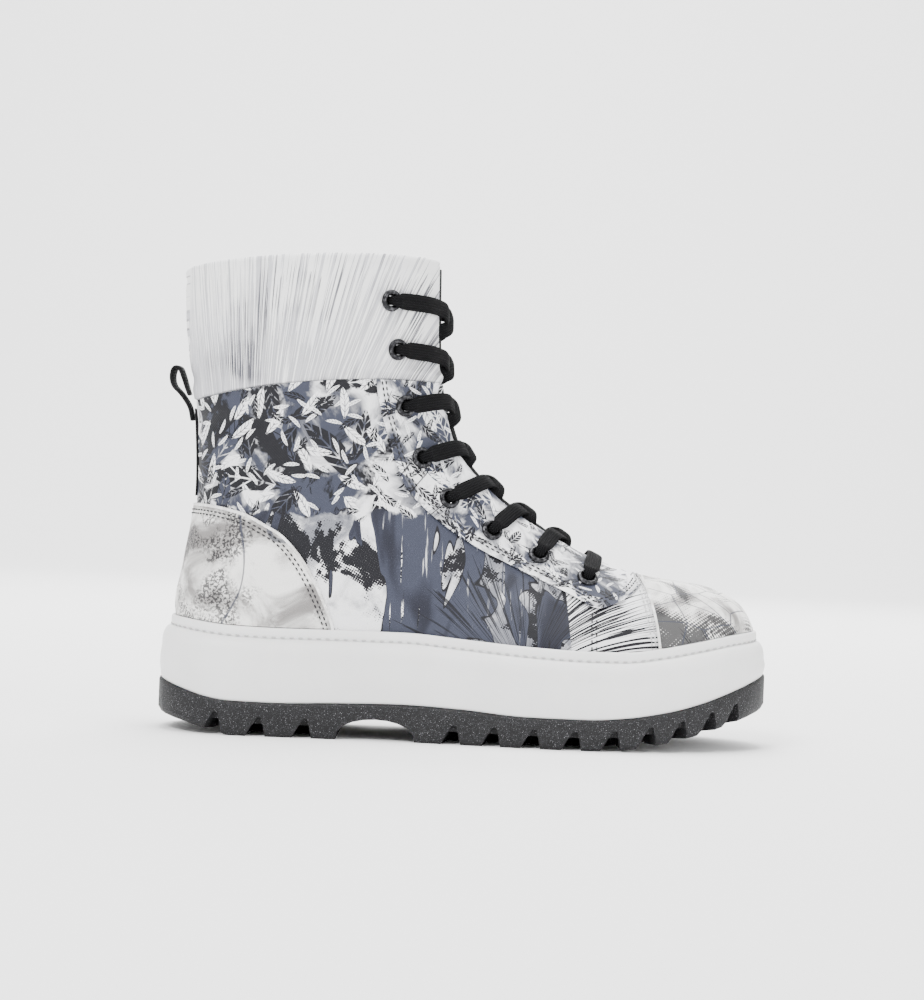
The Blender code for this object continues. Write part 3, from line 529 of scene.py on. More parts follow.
def show(name, points, faces, finish, merge=2e-6):
    """Piece from points and faces, with the points that fall together made one."""
    mesh = bpy.data.meshes.new(name)
    with edited(mesh) as work:
        corners = [work.verts.new(point) for point in points]
        for face in faces:
            ring = [corners[i] for i in dict.fromkeys(face)]
            if len(ring) > 2:
                work.faces.new(ring)
        bmesh.ops.remove_doubles(work, verts=work.verts, dist=merge)
        bmesh.ops.dissolve_degenerate(work, edges=work.edges, dist=1e-7)
    mesh.shade_smooth()
    made = placed(name, mesh)
    for each in finish if isinstance(finish, (list, tuple)) else [finish]:
        mesh.materials.append(each)
    return made


def finished(made):
    """Turn a piece's modifiers into its plain mesh."""
    depsgraph = bpy.context.evaluated_depsgraph_get()
    mesh = bpy.data.meshes.new_from_object(made.evaluated_get(depsgraph))
    made.modifiers.clear()
    made.data = mesh
    return made


def worn(made, slot, *stands_for):
    """Attach a finished piece to the root body and hide the solids it stands for. The slot is not used."""
    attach(made, "root")
    if stands_for:
        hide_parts(*stands_for)
    return made


def grid(rows, columns, start=0, flip=False, wrap=False):
    """Faces of a grid of points given row by row."""
    faces = []
    for i in range(rows - 1):
        for j in range(columns if wrap else columns - 1):
            a, b = start + i * columns + j, start + i * columns + (j + 1) % columns
            face = (a, a + columns, b + columns, b)
            faces.append(face[::-1] if flip else face)
    return faces


def sheet(stations, start=throat_edge, end=section_length, lift=0.0, columns=CLOTH_COLUMNS, skip=0):
    """Fine open sheet of the last on both sides."""
    points, faces = [], []
    for side, flip in ((LATERAL, False), (MEDIAL, True)):
        faces += grid(len(stations), columns, start=len(points), flip=flip)
        for station in stations:
            first = start(station)
            length = end(station, side) - first
            for j in range(columns):
                way = j / (columns - 1)
                run = first + length * (way + (1 - math.cos(math.pi * way)) / 2) / 2
                points.append(on_last(station, run, side, lift)[0])
    if skip:
        faces = [face for face in faces if min(i % columns for i in face) >= skip]
    return points, faces


def folded(point, folds):
    """How far the folds of a table draw a place of the cloth inwards."""
    deep = 0.0
    for x, z, lean, length, width, depth in folds:
        dx, dz = point.x - x, point.z - z
        along = dx * math.cos(lean) + dz * math.sin(lean)
        across = dz * math.cos(lean) - dx * math.sin(lean) - 0.12 * along * along / length
        if abs(along) < length and abs(across) < 3 * width:
            fade = math.cos(min(abs(along) / length, 1) * math.pi / 2) ** 2
            deep += depth * math.exp(-((across / width) ** 2)) * fade
    return deep


def uneven(point, size, height, seed=0.0):
    return height * noise.noise(Vector((point.x, point.y, point.z)) / size + Vector((seed, 0, 0)))


def relax(made, relief):
    """Move a sheet's points along its own normals by a relief."""
    mesh = made.data
    moved = [v.co - v.normal * relief(v.co) for v in mesh.vertices]
    for v, place in zip(mesh.vertices, moved):
        v.co = place
    mesh.update()


def walled(made, thickness, inwards=True, lining=None):
    wall = made.modifiers.new("wall", "SOLIDIFY")
    wall.thickness = thickness
    wall.offset = -1 if inwards else 1
    wall.use_quality_normals = True
    if lining is not None:
        made.data.materials.append(lining)
        wall.material_offset = 1
    return made


def cut(made, cutter, operation="DIFFERENCE"):
    step = made.modifiers.new("cut", "BOOLEAN")
    step.object = cutter
    step.operation = operation
    step.solver = "EXACT"


def cloth_map(made):
    """UV map in metres that runs round the heel and over the toe without a stretch."""
    mesh = made.data
    layer = mesh.uv_layers.new(name="cloth")
    for loop in mesh.loops:
        x, y, z = mesh.vertices[loop.vertex_index].co
        back = min(max((-0.092 - x) / 0.044, 0.0), 1.0)
        along = min(x, 1) if back == 0 else -0.092 - 0.044 * math.asin(back)
        forward = smooth((x + 0.01) / 0.06)
        layer.data[loop.index].uv = (along, z + forward * (0.045 - abs(y)))


def side_prism(name, edge, closing):
    """Cutter with an outline seen from the side, right through the boot."""
    shape = [(sole_x(x), above_platform(z)) for x, z in smooth_line(edge, 6) + list(closing)]
    points = [Vector((x, y, z)) for y in (-REACH, REACH) for x, z in shape]
    count = len(shape)
    faces = [tuple(range(count)), tuple(range(2 * count - 1, count - 1, -1))]
    faces += [(i, i + count, (i + 1) % count + count, (i + 1) % count) for i in range(count)]
    return outwards(show(name, points, faces, []))


def tube(name, points, sides, finish, merge=2e-6):
    """Closed body through rings of so many points each."""
    faces = grid(len(points) // sides, sides, wrap=True)
    faces += [tuple(range(sides)), tuple(range(len(points) - 1, len(points) - sides - 1, -1))]
    return outwards(show(name, points, faces, finish, merge))


def strap_section(sides, half_width, half_height, square, flat):
    """Offsets across and through a strap, round a section with soft corners."""
    section = []
    for j in range(sides):
        turn = 2 * math.pi * j / sides
        c, s = math.cos(turn), math.sin(turn)
        across = math.copysign(abs(c) ** square, c) * half_width
        section.append((across, math.copysign(abs(s) ** flat, s) * half_height))
    return section


def way_along(places, i, reach=1):
    """Direction of a line of places at one of them."""
    return places[min(i + reach, len(places) - 1)] - places[max(i - reach, 0)]


def outwards(made):
    with edited(made.data) as work:
        bmesh.ops.recalc_face_normals(work, faces=work.faces)
    return made


def smooth_line(points, parts):
    """Points of a smooth curve through given ones."""
    line = []
    for k in range(len(points) - 1):
        before, here = points[max(k - 1, 0)], points[k]
        there, after = points[k + 1], points[min(k + 2, len(points) - 1)]
        for i in range(parts):
            u = i / parts
            place = []
            for p, a, b, n in zip(before, here, there, after):
                rise, start, end = b - a, (b - p) / 2, (n - a) / 2
                curve = u * u * (3 * rise - 2 * start - end) + u**3 * (start + end - 2 * rise)
                place.append(a + u * start + curve)
            line.append(tuple(place))
    return line + [tuple(points[-1])]


def outline_ring(inset, height):
    """Ring of points round the sole, heel first, then the lateral and the medial side."""
    stations = outline(inset)
    ring = [Vector((x, lateral, height(x))) for x, lateral, _ in stations]
    ring += [Vector((x, medial, height(x))) for x, _, medial in stations[-2:0:-1]]
    return ring


def ring_body(name, levels, finish):
    """Closed body through rings round the sole, its ends filled from side to side."""
    points, faces = [], []
    for inset, height in levels:
        points += outline_ring(inset, height)
    count = 2 * SOLE_STATIONS
    faces += grid(len(levels), count, wrap=True)
    for start, flip in ((0, True), ((len(levels) - 1) * count, False)):
        for i in range(SOLE_STATIONS):
            right, right_next = start + (count - i) % count, start + count - i - 1
            face = (start + i, start + i + 1, right_next, right)
            faces.append(face[::-1] if flip else face)
    return outwards(show(name, points, faces, finish))


# Materials


def new_finish(name, roughness, specular=None):
    """New material with its node tree and its main shader."""
    made = bpy.data.materials.new(name)
    made.use_nodes = True
    tree = made.node_tree
    shader = tree.nodes["Principled BSDF"]
    shader.inputs["Roughness"].default_value = roughness
    if specular is not None:
        shader.inputs["Specular IOR Level"].default_value = specular
    return made, tree, shader


def paint(tree, shader, colour, roughness=None):
    """Link a colour, and a roughness where one is given, to the main shader."""
    tree.links.new(colour, shader.inputs["Base Color"])
    if roughness is not None:
        tree.links.new(roughness, shader.inputs["Roughness"])


def add(tree, kind, sockets=None, **settings):
    """Shader node with its settings and its sockets set or linked."""
    made = tree.nodes.new("ShaderNode" + kind)
    for key, value in settings.items():
        setattr(made, key, value)
    for key, value in (sockets or {}).items():
        if isinstance(value, bpy.types.NodeSocket):
            tree.links.new(value, made.inputs[key])
        else:
            made.inputs[key].default_value = value
    return made


def calc(tree, operation, *values, clamp=False):
    sockets = dict(enumerate(values))
    return add(tree, "Math", sockets, operation=operation, use_clamp=clamp).outputs[0]


def step_up(tree, value, low, high):
    """Smooth change from 0 at low to 1 at high."""
    sockets = {"Value": value, "From Min": low, "From Max": high}
    return add(tree, "MapRange", sockets, interpolation_type="SMOOTHSTEP").outputs["Result"]


def blend_colour(tree, share, first, second, kind="MIX"):
    made = tree.nodes.new("ShaderNodeMix")
    made.data_type = "RGBA"
    made.blend_type = kind
    for index, value in ((0, share), (6, first), (7, second)):
        if isinstance(value, bpy.types.NodeSocket):
            tree.links.new(value, made.inputs[index])
        else:
            made.inputs[index].default_value = value if index == 0 else (*value, 1)
    return made.outputs[2]


def cloth_place(tree, size=(1, 1, 1), turn=0.0, move=(0, 0, 0)):
    """The piece's cloth map, scaled, moved and turned for a pattern."""
    source = add(tree, "UVMap", uv_map="cloth").outputs[0]
    sockets = {"Vector": source, "Scale": size, "Rotation": (0, 0, turn), "Location": move}
    return add(tree, "Mapping", sockets).outputs[0]


def solid_place(tree, size=1.0):
    source = add(tree, "TexCoord").outputs["Object"]
    return add(tree, "Mapping", {"Vector": source, "Scale": (size, size, size)}).outputs[0]


def grain(tree, place, scale, detail=4.0, rough=0.55, distortion=0.0):
    """Cloudy noise between about 0.3 and 0.7."""
    sockets = {"Vector": place, "Scale": scale, "Detail": detail, "Roughness": rough}
    return add(tree, "TexNoise", {**sockets, "Distortion": distortion}).outputs["Fac"]


def raised(tree, shader, height, strength, distance):
    sockets = {"Height": height, "Strength": strength, "Distance": distance}
    bump = add(tree, "Bump", sockets)
    tree.links.new(bump.outputs[0], shader.inputs["Normal"])
    return bump


def weave(tree, place, threads):
    """Plain weave: two crossing sets of threads, so many to the metre."""
    parts = add(tree, "SeparateXYZ", {"Vector": place})
    warp = calc(tree, "SINE", calc(tree, "MULTIPLY", parts.outputs[0], threads * math.pi))
    weft = calc(tree, "SINE", calc(tree, "MULTIPLY", parts.outputs[1], threads * math.pi))
    return calc(tree, "MULTIPLY", warp, weft)


def leaf_marks(tree, place, scale, long=0.42, wide=0.15, seed=0.0):
    """Scattered leaves with a pale midrib: 1 on a leaf, 0 off it."""
    moved = add(tree, "Mapping", {"Vector": place, "Location": (seed, seed, 0)}).outputs[0]
    cells = add(tree, "TexVoronoi", {"Vector": moved, "Scale": scale, "Randomness": 0.85})
    cells.voronoi_dimensions = "2D"
    sizes = {0: moved, "Scale": scale}
    scaled = add(tree, "VectorMath", sizes, operation="SCALE").outputs[0]
    centre = add(tree, "VectorMath", {0: cells.outputs["Position"], "Scale": scale}, operation="SCALE")
    local = add(tree, "VectorMath", {0: scaled, 1: centre.outputs[0]}, operation="SUBTRACT").outputs[0]
    pick = add(tree, "SeparateColor", {"Color": cells.outputs["Color"]})
    turn = calc(tree, "MULTIPLY", pick.outputs[0], 6.283)
    sockets = {"Vector": local, "Axis": (0, 0, 1), "Angle": turn}
    turned = add(tree, "VectorRotate", sockets, rotation_type="AXIS_ANGLE").outputs[0]
    parts = add(tree, "SeparateXYZ", {"Vector": turned})
    along = calc(tree, "DIVIDE", parts.outputs[1], long)
    bend = calc(tree, "MULTIPLY", calc(tree, "MULTIPLY", along, along), 0.05)
    across = calc(tree, "ABSOLUTE", calc(tree, "SUBTRACT", parts.outputs[0], bend))
    room = calc(tree, "SUBTRACT", 1.0, calc(tree, "MULTIPLY", along, along))
    edge = calc(tree, "SUBTRACT", calc(tree, "MULTIPLY", room, wide), across)
    body = step_up(tree, edge, 0.0, 0.012)
    rib = step_up(tree, across, 0.006, 0.014)
    length_wise = calc(tree, "MULTIPLY", parts.outputs[1], 40)
    fishbone = calc(tree, "ADD", calc(tree, "MULTIPLY", across, 55), length_wise)
    veins = step_up(tree, calc(tree, "SINE", fishbone), -0.93, -0.80)
    return calc(tree, "MULTIPLY", body, calc(tree, "MULTIPLY", rib, veins))


def fan_strokes(tree, centre, scale, thick, fade_low, fade_high, seed=0.0):
    """Pen strokes that fan out of a centre in the cloth map: 1 on a stroke, 0 off it."""
    source = add(tree, "UVMap", uv_map="cloth").outputs[0]
    local = add(tree, "VectorMath", {0: source, 1: (*centre, 0)}, operation="SUBTRACT").outputs[0]
    parts = add(tree, "SeparateXYZ", {"Vector": local})
    angle = calc(tree, "ARCTAN2", parts.outputs[0], parts.outputs[1])
    far = add(tree, "VectorMath", {0: local}, operation="LENGTH").outputs["Value"]
    sockets = {"X": calc(tree, "MULTIPLY", angle, scale), "Y": calc(tree, "MULTIPLY", far, 14)}
    spot = add(tree, "CombineXYZ", sockets).outputs[0]
    moved = add(tree, "VectorMath", {0: spot, 1: (seed, seed, 0)}).outputs[0]
    lines = grain(tree, moved, 1.0, 2.0, 0.6)
    taper = step_up(tree, far, fade_low, fade_high)
    level = calc(tree, "ADD", thick, calc(tree, "MULTIPLY", taper, 0.22))
    return step_up(tree, calc(tree, "SUBTRACT", lines, level), 0.0, 0.012)


# Roughness and specular level of the printed cloths, then the inks
PRINTED_CLOTH = (0.52, 0.25)
WHITE_INK = (0.84, 0.84, 0.855)
GREY_INK = (0.17, 0.175, 0.20)
SLATE_INK = (0.034, 0.038, 0.058)
BLACK_INK = (0.0045, 0.0045, 0.007)
WARM_WHITE = (0.83, 0.82, 0.795)
WARM_GREY = (0.21, 0.20, 0.195)


def wash(tree, scale, low, mid, light, dark, seed=0.0):
    """Clouds of thinned ink between a light and a dark colour."""
    place = solid_place(tree)
    moved = add(tree, "VectorMath", {0: place, 1: (seed, seed, seed)}).outputs[0]
    cloud = grain(tree, moved, scale, 6.0, 0.58, 0.7)
    tone = step_up(tree, cloud, low, mid)
    return blend_colour(tree, tone, light, dark)


def printed_dots(tree, turn, scale, size):
    """Screen of round dots, so many to the metre, as large as a value says: 1 on a dot."""
    place = cloth_place(tree, (1, 1, 1), turn)
    dots = add(tree, "TexVoronoi", {"Vector": place, "Scale": scale, "Randomness": 0.0})
    dots.voronoi_dimensions = "2D"
    return step_up(tree, calc(tree, "SUBTRACT", size, dots.outputs["Distance"]), 0.0, 0.06)


def woven_surface(tree, shader, colour):
    """Fine weave and a little unevenness under a print."""
    threads = weave(tree, cloth_place(tree), 1500)
    soft = grain(tree, solid_place(tree), 160, 3.0)
    height = calc(tree, "ADD", calc(tree, "MULTIPLY", threads, 0.35), soft)
    raised(tree, shader, height, 0.22, 0.0006)
    paint(tree, shader, colour, calc(tree, "MULTIPLY_ADD", soft, 0.16, 0.44))


def quarter_print():
    """Leaf shadows round the shaft, thin ink clouds below them and strokes at the vamp."""
    made, tree, shader = new_finish("quarter print", *PRINTED_CLOTH)
    parts = add(tree, "SeparateXYZ", {"Vector": add(tree, "TexCoord").outputs["Object"]})
    ragged = grain(tree, solid_place(tree), 60, 5.0)
    height = calc(tree, "MULTIPLY_ADD", ragged, 0.022, parts.outputs[2])
    on_shaft = step_up(tree, height, 0.1145, 0.1165)
    leaning = calc(tree, "MULTIPLY_ADD", parts.outputs[2], 0.12, parts.outputs[0])
    on_vamp = step_up(tree, leaning, 0.0552, 0.0556)

    place = cloth_place(tree)
    band = wash(tree, 30, 0.40, 0.56, WHITE_INK, SLATE_INK, 3.0)
    murk = step_up(tree, grain(tree, solid_place(tree), 44, 5.0, 0.65, 0.4), 0.50, 0.56)
    band = blend_colour(tree, murk, band, BLACK_INK)
    for scale, long, wide, ink, seed in (
        (26, 0.52, 0.15, BLACK_INK, 0.0),
        (31, 0.50, 0.14, SLATE_INK, 6.1),
        (38, 0.50, 0.15, BLACK_INK, 3.3),
        (60, 0.48, 0.13, WHITE_INK, 7.3),
        (74, 0.48, 0.13, BLACK_INK, 2.1),
        (105, 0.46, 0.10, WHITE_INK, 5.2),
    ):
        leaves = leaf_marks(tree, place, scale, long, wide, seed)
        band = blend_colour(tree, leaves, band, ink)

    clouds = wash(tree, 30, 0.40, 0.58, WHITE_INK, GREY_INK, 11.0)
    storm = step_up(tree, grain(tree, solid_place(tree), 44, 6.0, 0.62, 0.5), 0.47, 0.56)
    screen = printed_dots(tree, 0.5, 900, calc(tree, "MULTIPLY", storm, 0.72))
    clouds = blend_colour(tree, screen, clouds, BLACK_INK)
    from_middle = calc(tree, "ABSOLUTE", calc(tree, "ADD", parts.outputs[0], 0.006))
    middle = calc(tree, "SUBTRACT", 1.0, step_up(tree, from_middle, 0.022, 0.046))
    flow = grain(tree, cloth_place(tree, (34, 15, 1), -0.5), 1.0, 2.0, 0.5, 1.2)
    flood = calc(tree, "MULTIPLY_ADD", middle, 0.11, flow)
    deep = step_up(tree, flood, 0.535, 0.545)
    brush = grain(tree, cloth_place(tree, (420, 26, 1), -0.45), 1.0, 3.0)
    dry = step_up(tree, brush, 0.33, 0.38)
    shade = blend_colour(tree, step_up(tree, flow, 0.50, 0.62), SLATE_INK, (0.012, 0.013, 0.022))
    clouds = blend_colour(tree, calc(tree, "MULTIPLY", deep, dry), clouds, shade)
    rim = calc(tree, "ABSOLUTE", calc(tree, "SUBTRACT", flood, 0.540))
    outline_ink = calc(tree, "SUBTRACT", 1.0, step_up(tree, rim, 0.003, 0.007))
    clouds = blend_colour(tree, outline_ink, clouds, BLACK_INK)
    strokes = fan_strokes(tree, (0.030, 0.030), 46, 0.535, 0.045, 0.085, 1.7)
    clouds = blend_colour(tree, calc(tree, "MULTIPLY", strokes, 0.9), clouds, BLACK_INK)

    blades = fan_strokes(tree, (0.020, 0.030), 60, 0.47, 0.055, 0.11, 5.0)
    vamp = blend_colour(tree, blades, WHITE_INK, BLACK_INK)
    colour = blend_colour(tree, on_shaft, clouds, band)
    colour = blend_colour(tree, on_vamp, colour, vamp)
    woven_surface(tree, shader, colour)
    return made


def eyestay_print():
    """Dense small foliage in black, white and slate."""
    made, tree, shader = new_finish("eyestay print", *PRINTED_CLOTH)
    colour = wash(tree, 34, 0.42, 0.58, WHITE_INK, SLATE_INK, 8.0)
    place = cloth_place(tree)
    marks_of = (
        (44, 0.14, SLATE_INK, 1.0),
        (58, 0.14, WHITE_INK, 4.0),
        (66, 0.13, BLACK_INK, 5.0),
        (96, 0.12, BLACK_INK, 6.0),
        (120, 0.10, WHITE_INK, 9.0),
    )
    for scale, wide, ink, seed in marks_of:
        marks = leaf_marks(tree, place, scale, 0.48, wide, seed)
        colour = blend_colour(tree, marks, colour, ink)
    strokes = fan_strokes(tree, (-0.080, 0.050), 80, 0.53, 0.05, 0.14, 2.0)
    colour = blend_colour(tree, calc(tree, "MULTIPLY", strokes, 0.9), colour, BLACK_INK)
    woven_surface(tree, shader, colour)
    return made


def cap_print():
    """Printed dots that swell and shrink in soft clouds, with a few curved pen lines."""
    made, tree, shader = new_finish("toe cap print", *PRINTED_CLOTH)
    base = wash(tree, 36, 0.46, 0.66, WARM_WHITE, WARM_GREY, 2.0)
    parts = add(tree, "SeparateXYZ", {"Vector": add(tree, "TexCoord").outputs["Object"]})
    low = calc(tree, "SUBTRACT", 1.0, step_up(tree, parts.outputs[2], 0.054, 0.074))
    swell = calc(tree, "MULTIPLY_ADD", low, 0.14, grain(tree, solid_place(tree), 40, 3.0, 0.5, 0.8))
    size = calc(tree, "MULTIPLY", step_up(tree, swell, 0.42, 0.74), 0.78)
    ink = printed_dots(tree, 0.6, 640, size)
    colour = blend_colour(tree, calc(tree, "MULTIPLY", ink, 0.92), base, BLACK_INK)
    curves = add(tree, "TexVoronoi", {"Vector": cloth_place(tree), "Scale": 62}, feature="DISTANCE_TO_EDGE")
    curves.voronoi_dimensions = "2D"
    line = calc(tree, "SUBTRACT", 1.0, step_up(tree, curves.outputs["Distance"], 0.012, 0.030))
    rings = fan_strokes(tree, (0.150, 0.020), 52, 0.50, 0.040, 0.085, 4.0)
    colour = blend_colour(tree, calc(tree, "MULTIPLY", rings, 0.9), colour, BLACK_INK)
    colour = blend_colour(tree, calc(tree, "MULTIPLY", line, 0.75), colour, SLATE_INK)
    woven_surface(tree, shader, colour)
    return made


def counter_print():
    """Warm clouds of ink with a few long curved lines."""
    made, tree, shader = new_finish("heel counter print", *PRINTED_CLOTH)
    base = wash(tree, 32, 0.40, 0.60, WARM_WHITE, WARM_GREY, 6.0)
    speck = step_up(tree, grain(tree, solid_place(tree), 900, 2.0), 0.47, 0.53)
    cloud = step_up(tree, grain(tree, solid_place(tree), 38, 5.0, 0.6, 0.5), 0.48, 0.60)
    dust = calc(tree, "MULTIPLY", speck, calc(tree, "MULTIPLY", cloud, 0.85))
    base = blend_colour(tree, dust, base, BLACK_INK)
    waves = grain(tree, solid_place(tree), 13, 1.0, 0.4, 0.8)
    near = calc(tree, "ABSOLUTE", calc(tree, "SUBTRACT", waves, 0.47))
    line = calc(tree, "SUBTRACT", 1.0, step_up(tree, near, 0.004, 0.008))
    colour = blend_colour(tree, calc(tree, "MULTIPLY", line, 0.8), base, SLATE_INK)
    woven_surface(tree, shader, colour)
    return made


def cuff_cloth():
    """Soft off-white cloth with fine grey lines that fan out from below."""
    made, tree, shader = new_finish("cuff cloth", *PRINTED_CLOTH)
    mottle = step_up(tree, grain(tree, solid_place(tree), 40), 0.3, 0.7)
    base = blend_colour(tree, mottle, (0.85, 0.85, 0.84), (0.78, 0.78, 0.79))
    heavy = step_up(tree, grain(tree, solid_place(tree), 26, 2.0), 0.42, 0.62)
    pale = fan_strokes(tree, (-0.104, 0.040), 150, 0.43, 0.10, 0.26, 3.0)
    colour = blend_colour(tree, calc(tree, "MULTIPLY", pale, 0.55), base, (0.24, 0.24, 0.29))
    dark = fan_strokes(tree, (-0.104, 0.040), 210, 0.47, 0.12, 0.25, 8.0)
    weight = calc(tree, "MULTIPLY_ADD", heavy, 0.7, 0.2)
    colour = blend_colour(tree, calc(tree, "MULTIPLY", dark, weight), colour, (0.035, 0.035, 0.05))
    woven_surface(tree, shader, colour)
    return made


def plain_cloth(name, colour, threads=1100, roughness=0.85):
    """Plain woven cloth, a little lighter in patches."""
    made, tree, shader = new_finish(name, roughness, 0.18)
    threads = weave(tree, cloth_place(tree), threads)
    soft = grain(tree, solid_place(tree), 220, 3.0)
    lighter = tuple(min(c * 2.2 + 0.004, 1) for c in colour)
    paint(tree, shader, blend_colour(tree, step_up(tree, soft, 0.3, 0.75), colour, lighter))
    raised(tree, shader, calc(tree, "MULTIPLY_ADD", threads, 0.5, soft), 0.5, 0.0005)
    return made


def lace_cloth():
    """Flat braid: slanted yarns that meet in the middle, on the lace's own map, with shade painted into the
    grooves between yarns.
    """
    made, tree, shader = new_finish("lace braid", 0.85, 0.10)
    source = add(tree, "UVMap", uv_map="lace").outputs[0]
    parts = add(tree, "SeparateXYZ", {"Vector": source})
    slant = calc(tree, "MULTIPLY", calc(tree, "ABSOLUTE", parts.outputs[1]), 1.1)
    yarn = calc(tree, "SINE", calc(tree, "MULTIPLY", calc(tree, "ADD", parts.outputs[0], slant), 5600))
    rows = calc(tree, "SINE", calc(tree, "MULTIPLY", parts.outputs[1], 5200))
    height = calc(tree, "MULTIPLY_ADD", yarn, 0.6, calc(tree, "MULTIPLY", rows, 0.5))
    raised(tree, shader, height, 0.75, 0.0004)
    # Painted shade and light: the colour is darker in the grooves between the yarns and lighter on their
    # raised tops.
    tone = step_up(tree, height, -0.6, 1.0)
    paint(tree, shader, blend_colour(tree, tone, (0.0012, 0.0012, 0.0014), (0.007, 0.007, 0.008)))
    return made


def white_rubber():
    """Matte white sole rubber, a touch warmer and duller in patches."""
    made, tree, shader = new_finish("white rubber", 0.5)
    place = solid_place(tree)
    patches = grain(tree, place, 30, 4.0)
    fine = grain(tree, place, 900, 2.0)
    tone = blend_colour(tree, step_up(tree, patches, 0.3, 0.75), (0.77, 0.77, 0.765), (0.72, 0.72, 0.715))
    paint(tree, shader, tone, calc(tree, "MULTIPLY_ADD", patches, 0.18, 0.42))
    raised(tree, shader, fine, 0.12, 0.0003)
    shader.inputs["Subsurface Weight"].default_value = 0.04
    shader.inputs["Subsurface Scale"].default_value = 0.002
    return made


def speckled_rubber():
    """Charcoal rubber full of pale specks, as rubber with ground cork or chips has."""
    made, tree, shader = new_finish("speckled rubber", 0.62, 0.3)
    place = solid_place(tree)
    colour = (0.0040, 0.0040, 0.0046)
    specks = (
        (2100, 0.30, (0.050, 0.050, 0.056), 0.0),
        (1500, 0.21, (0.13, 0.13, 0.14), 3.0),
        (2900, 0.32, (0.030, 0.030, 0.034), 6.0),
        (1000, 0.14, (0.30, 0.30, 0.32), 9.0),
    )
    for scale, size, tone, seed in specks:
        moved = add(tree, "VectorMath", {0: place, 1: (seed, seed, seed)}).outputs[0]
        cells = add(tree, "TexVoronoi", {"Vector": moved, "Scale": scale})
        chance = add(tree, "SeparateColor", {"Color": cells.outputs["Color"]}).outputs[0]
        dot = calc(tree, "SUBTRACT", 1.0, step_up(tree, cells.outputs["Distance"], size * 0.7, size))
        some = step_up(tree, chance, 0.30, 0.34)
        colour = blend_colour(tree, calc(tree, "MULTIPLY", dot, some), colour, tone)
    rough = grain(tree, place, 500, 4.0, 0.6)
    raised(tree, shader, rough, 0.35, 0.0006)
    paint(tree, shader, colour, calc(tree, "MULTIPLY_ADD", rough, 0.25, 0.5))
    return made


def black_enamel():
    """Black plated eyelet metal, painted brighter in scattered noise patches as glints."""
    made, tree, shader = new_finish("black enamel", 0.28)
    shader.inputs["Metallic"].default_value = 0.85
    place = solid_place(tree)
    glint_and_roughness_noise = grain(tree, place, 700, 3.0)
    # Painted glint: the metal colour is lighter in noise patches that stand in for highlights; the same
    # noise also varies the roughness.
    painted_glint = step_up(tree, glint_and_roughness_noise, 0.45, 0.7)
    colour = blend_colour(tree, painted_glint, (0.016, 0.016, 0.018), (0.085, 0.085, 0.09))
    paint(tree, shader, colour, calc(tree, "MULTIPLY_ADD", glint_and_roughness_noise, 0.3, 0.16))
    return made


def thread(name, colour):
    made, tree, shader = new_finish(name, 0.7)
    twist = grain(tree, solid_place(tree), 2600, 1.0)
    darker = tuple(c * 0.7 for c in colour)
    paint(tree, shader, blend_colour(tree, twist, colour, darker))
    raised(tree, shader, twist, 0.4, 0.0002)
    return made


# The sole


def make_outsole():
    """The solid's own mesh with its edges softened as moulded rubber has them."""
    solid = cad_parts["outsole"]
    made = placed("outsole_rubber", solid.data.copy())
    with edited(made.data) as work:
        bmesh.ops.remove_doubles(work, verts=work.verts, dist=1e-6)
        bmesh.ops.dissolve_limit(work, angle_limit=math.radians(0.6), verts=work.verts, edges=work.edges)
    made.data.materials.clear()
    made.data.materials.append(speckled_rubber())
    soft = made.modifiers.new("soft edges", "BEVEL")
    soft.width = 0.0005
    soft.segments = 2
    soft.limit_method = "ANGLE"
    soft.angle_limit = math.radians(32)
    soft.harden_normals = False
    made.data.shade_smooth()
    finished(made)
    sharp_where_steep(made)
    worn(made, "outsole", "outsole")


def sharp_where_steep(made, angle=38):
    """Keep the creases between faces that meet at more than an angle."""
    with edited(made.data) as work:
        for edge in work.edges:
            edge.smooth = len(edge.link_faces) == 2 and edge.calc_face_angle(0) < math.radians(angle)


def make_midsole():
    """White platform: a bellied wall, a round shoulder and the stitched rim."""

    def below_rim(drop):
        return lambda x: rim_height(x) - drop

    def between(share):
        """Height between the outsole's top and the foot of the shoulder."""
        low = 0.0012
        return lambda x: (outsole_top(x) + low) * (1 - share) + (rim_height(x) - shoulder_end) * share

    shoulder_end = RIM_HEIGHT + SHOULDER_HEIGHT
    rim_out = UPPER_INSET - CUP_GAP - RIM_THICKNESS
    levels = [(0.0030, lambda x: outsole_top(x) + GAP), (0.0012, lambda x: outsole_top(x) + GAP)]
    for share in (0.0, 0.06, 0.15, 0.35, 0.55, 0.75, 0.9, 1.0):
        belly = 0.0002 + 0.0007 * (1 - math.sin(math.pi * min(share * 1.15, 1)))
        levels.append((belly, between(share)))
    for i in range(1, 9):
        turn = math.pi / 2 * i / 8
        inset = 0.0009 + (rim_out - 0.0012) * (1 - math.cos(turn))
        levels.append((inset, below_rim(shoulder_end - (SHOULDER_HEIGHT + 0.0004) * math.sin(turn))))
    levels += [
        (rim_out + 0.0001, below_rim(RIM_HEIGHT - 0.0006)),
        (rim_out - 0.0005, below_rim(RIM_HEIGHT - 0.0013)),
        (rim_out - 0.0007, below_rim(RIM_HEIGHT * 0.5)),
        (rim_out - 0.0005, below_rim(0.0008)),
        (rim_out - 0.0001, below_rim(0.0002)),
        (rim_out + 0.0006, below_rim(0.0)),
        (UPPER_INSET - CUP_GAP - 0.0004, below_rim(0.0001)),
        (UPPER_INSET - CUP_GAP, below_rim(0.0006)),
        (UPPER_INSET - CUP_GAP, below_rim(CUP_DEPTH)),
    ]
    made = ring_body("midsole_platform", levels, white_rubber())
    worn(made, "midsole", "midsole")


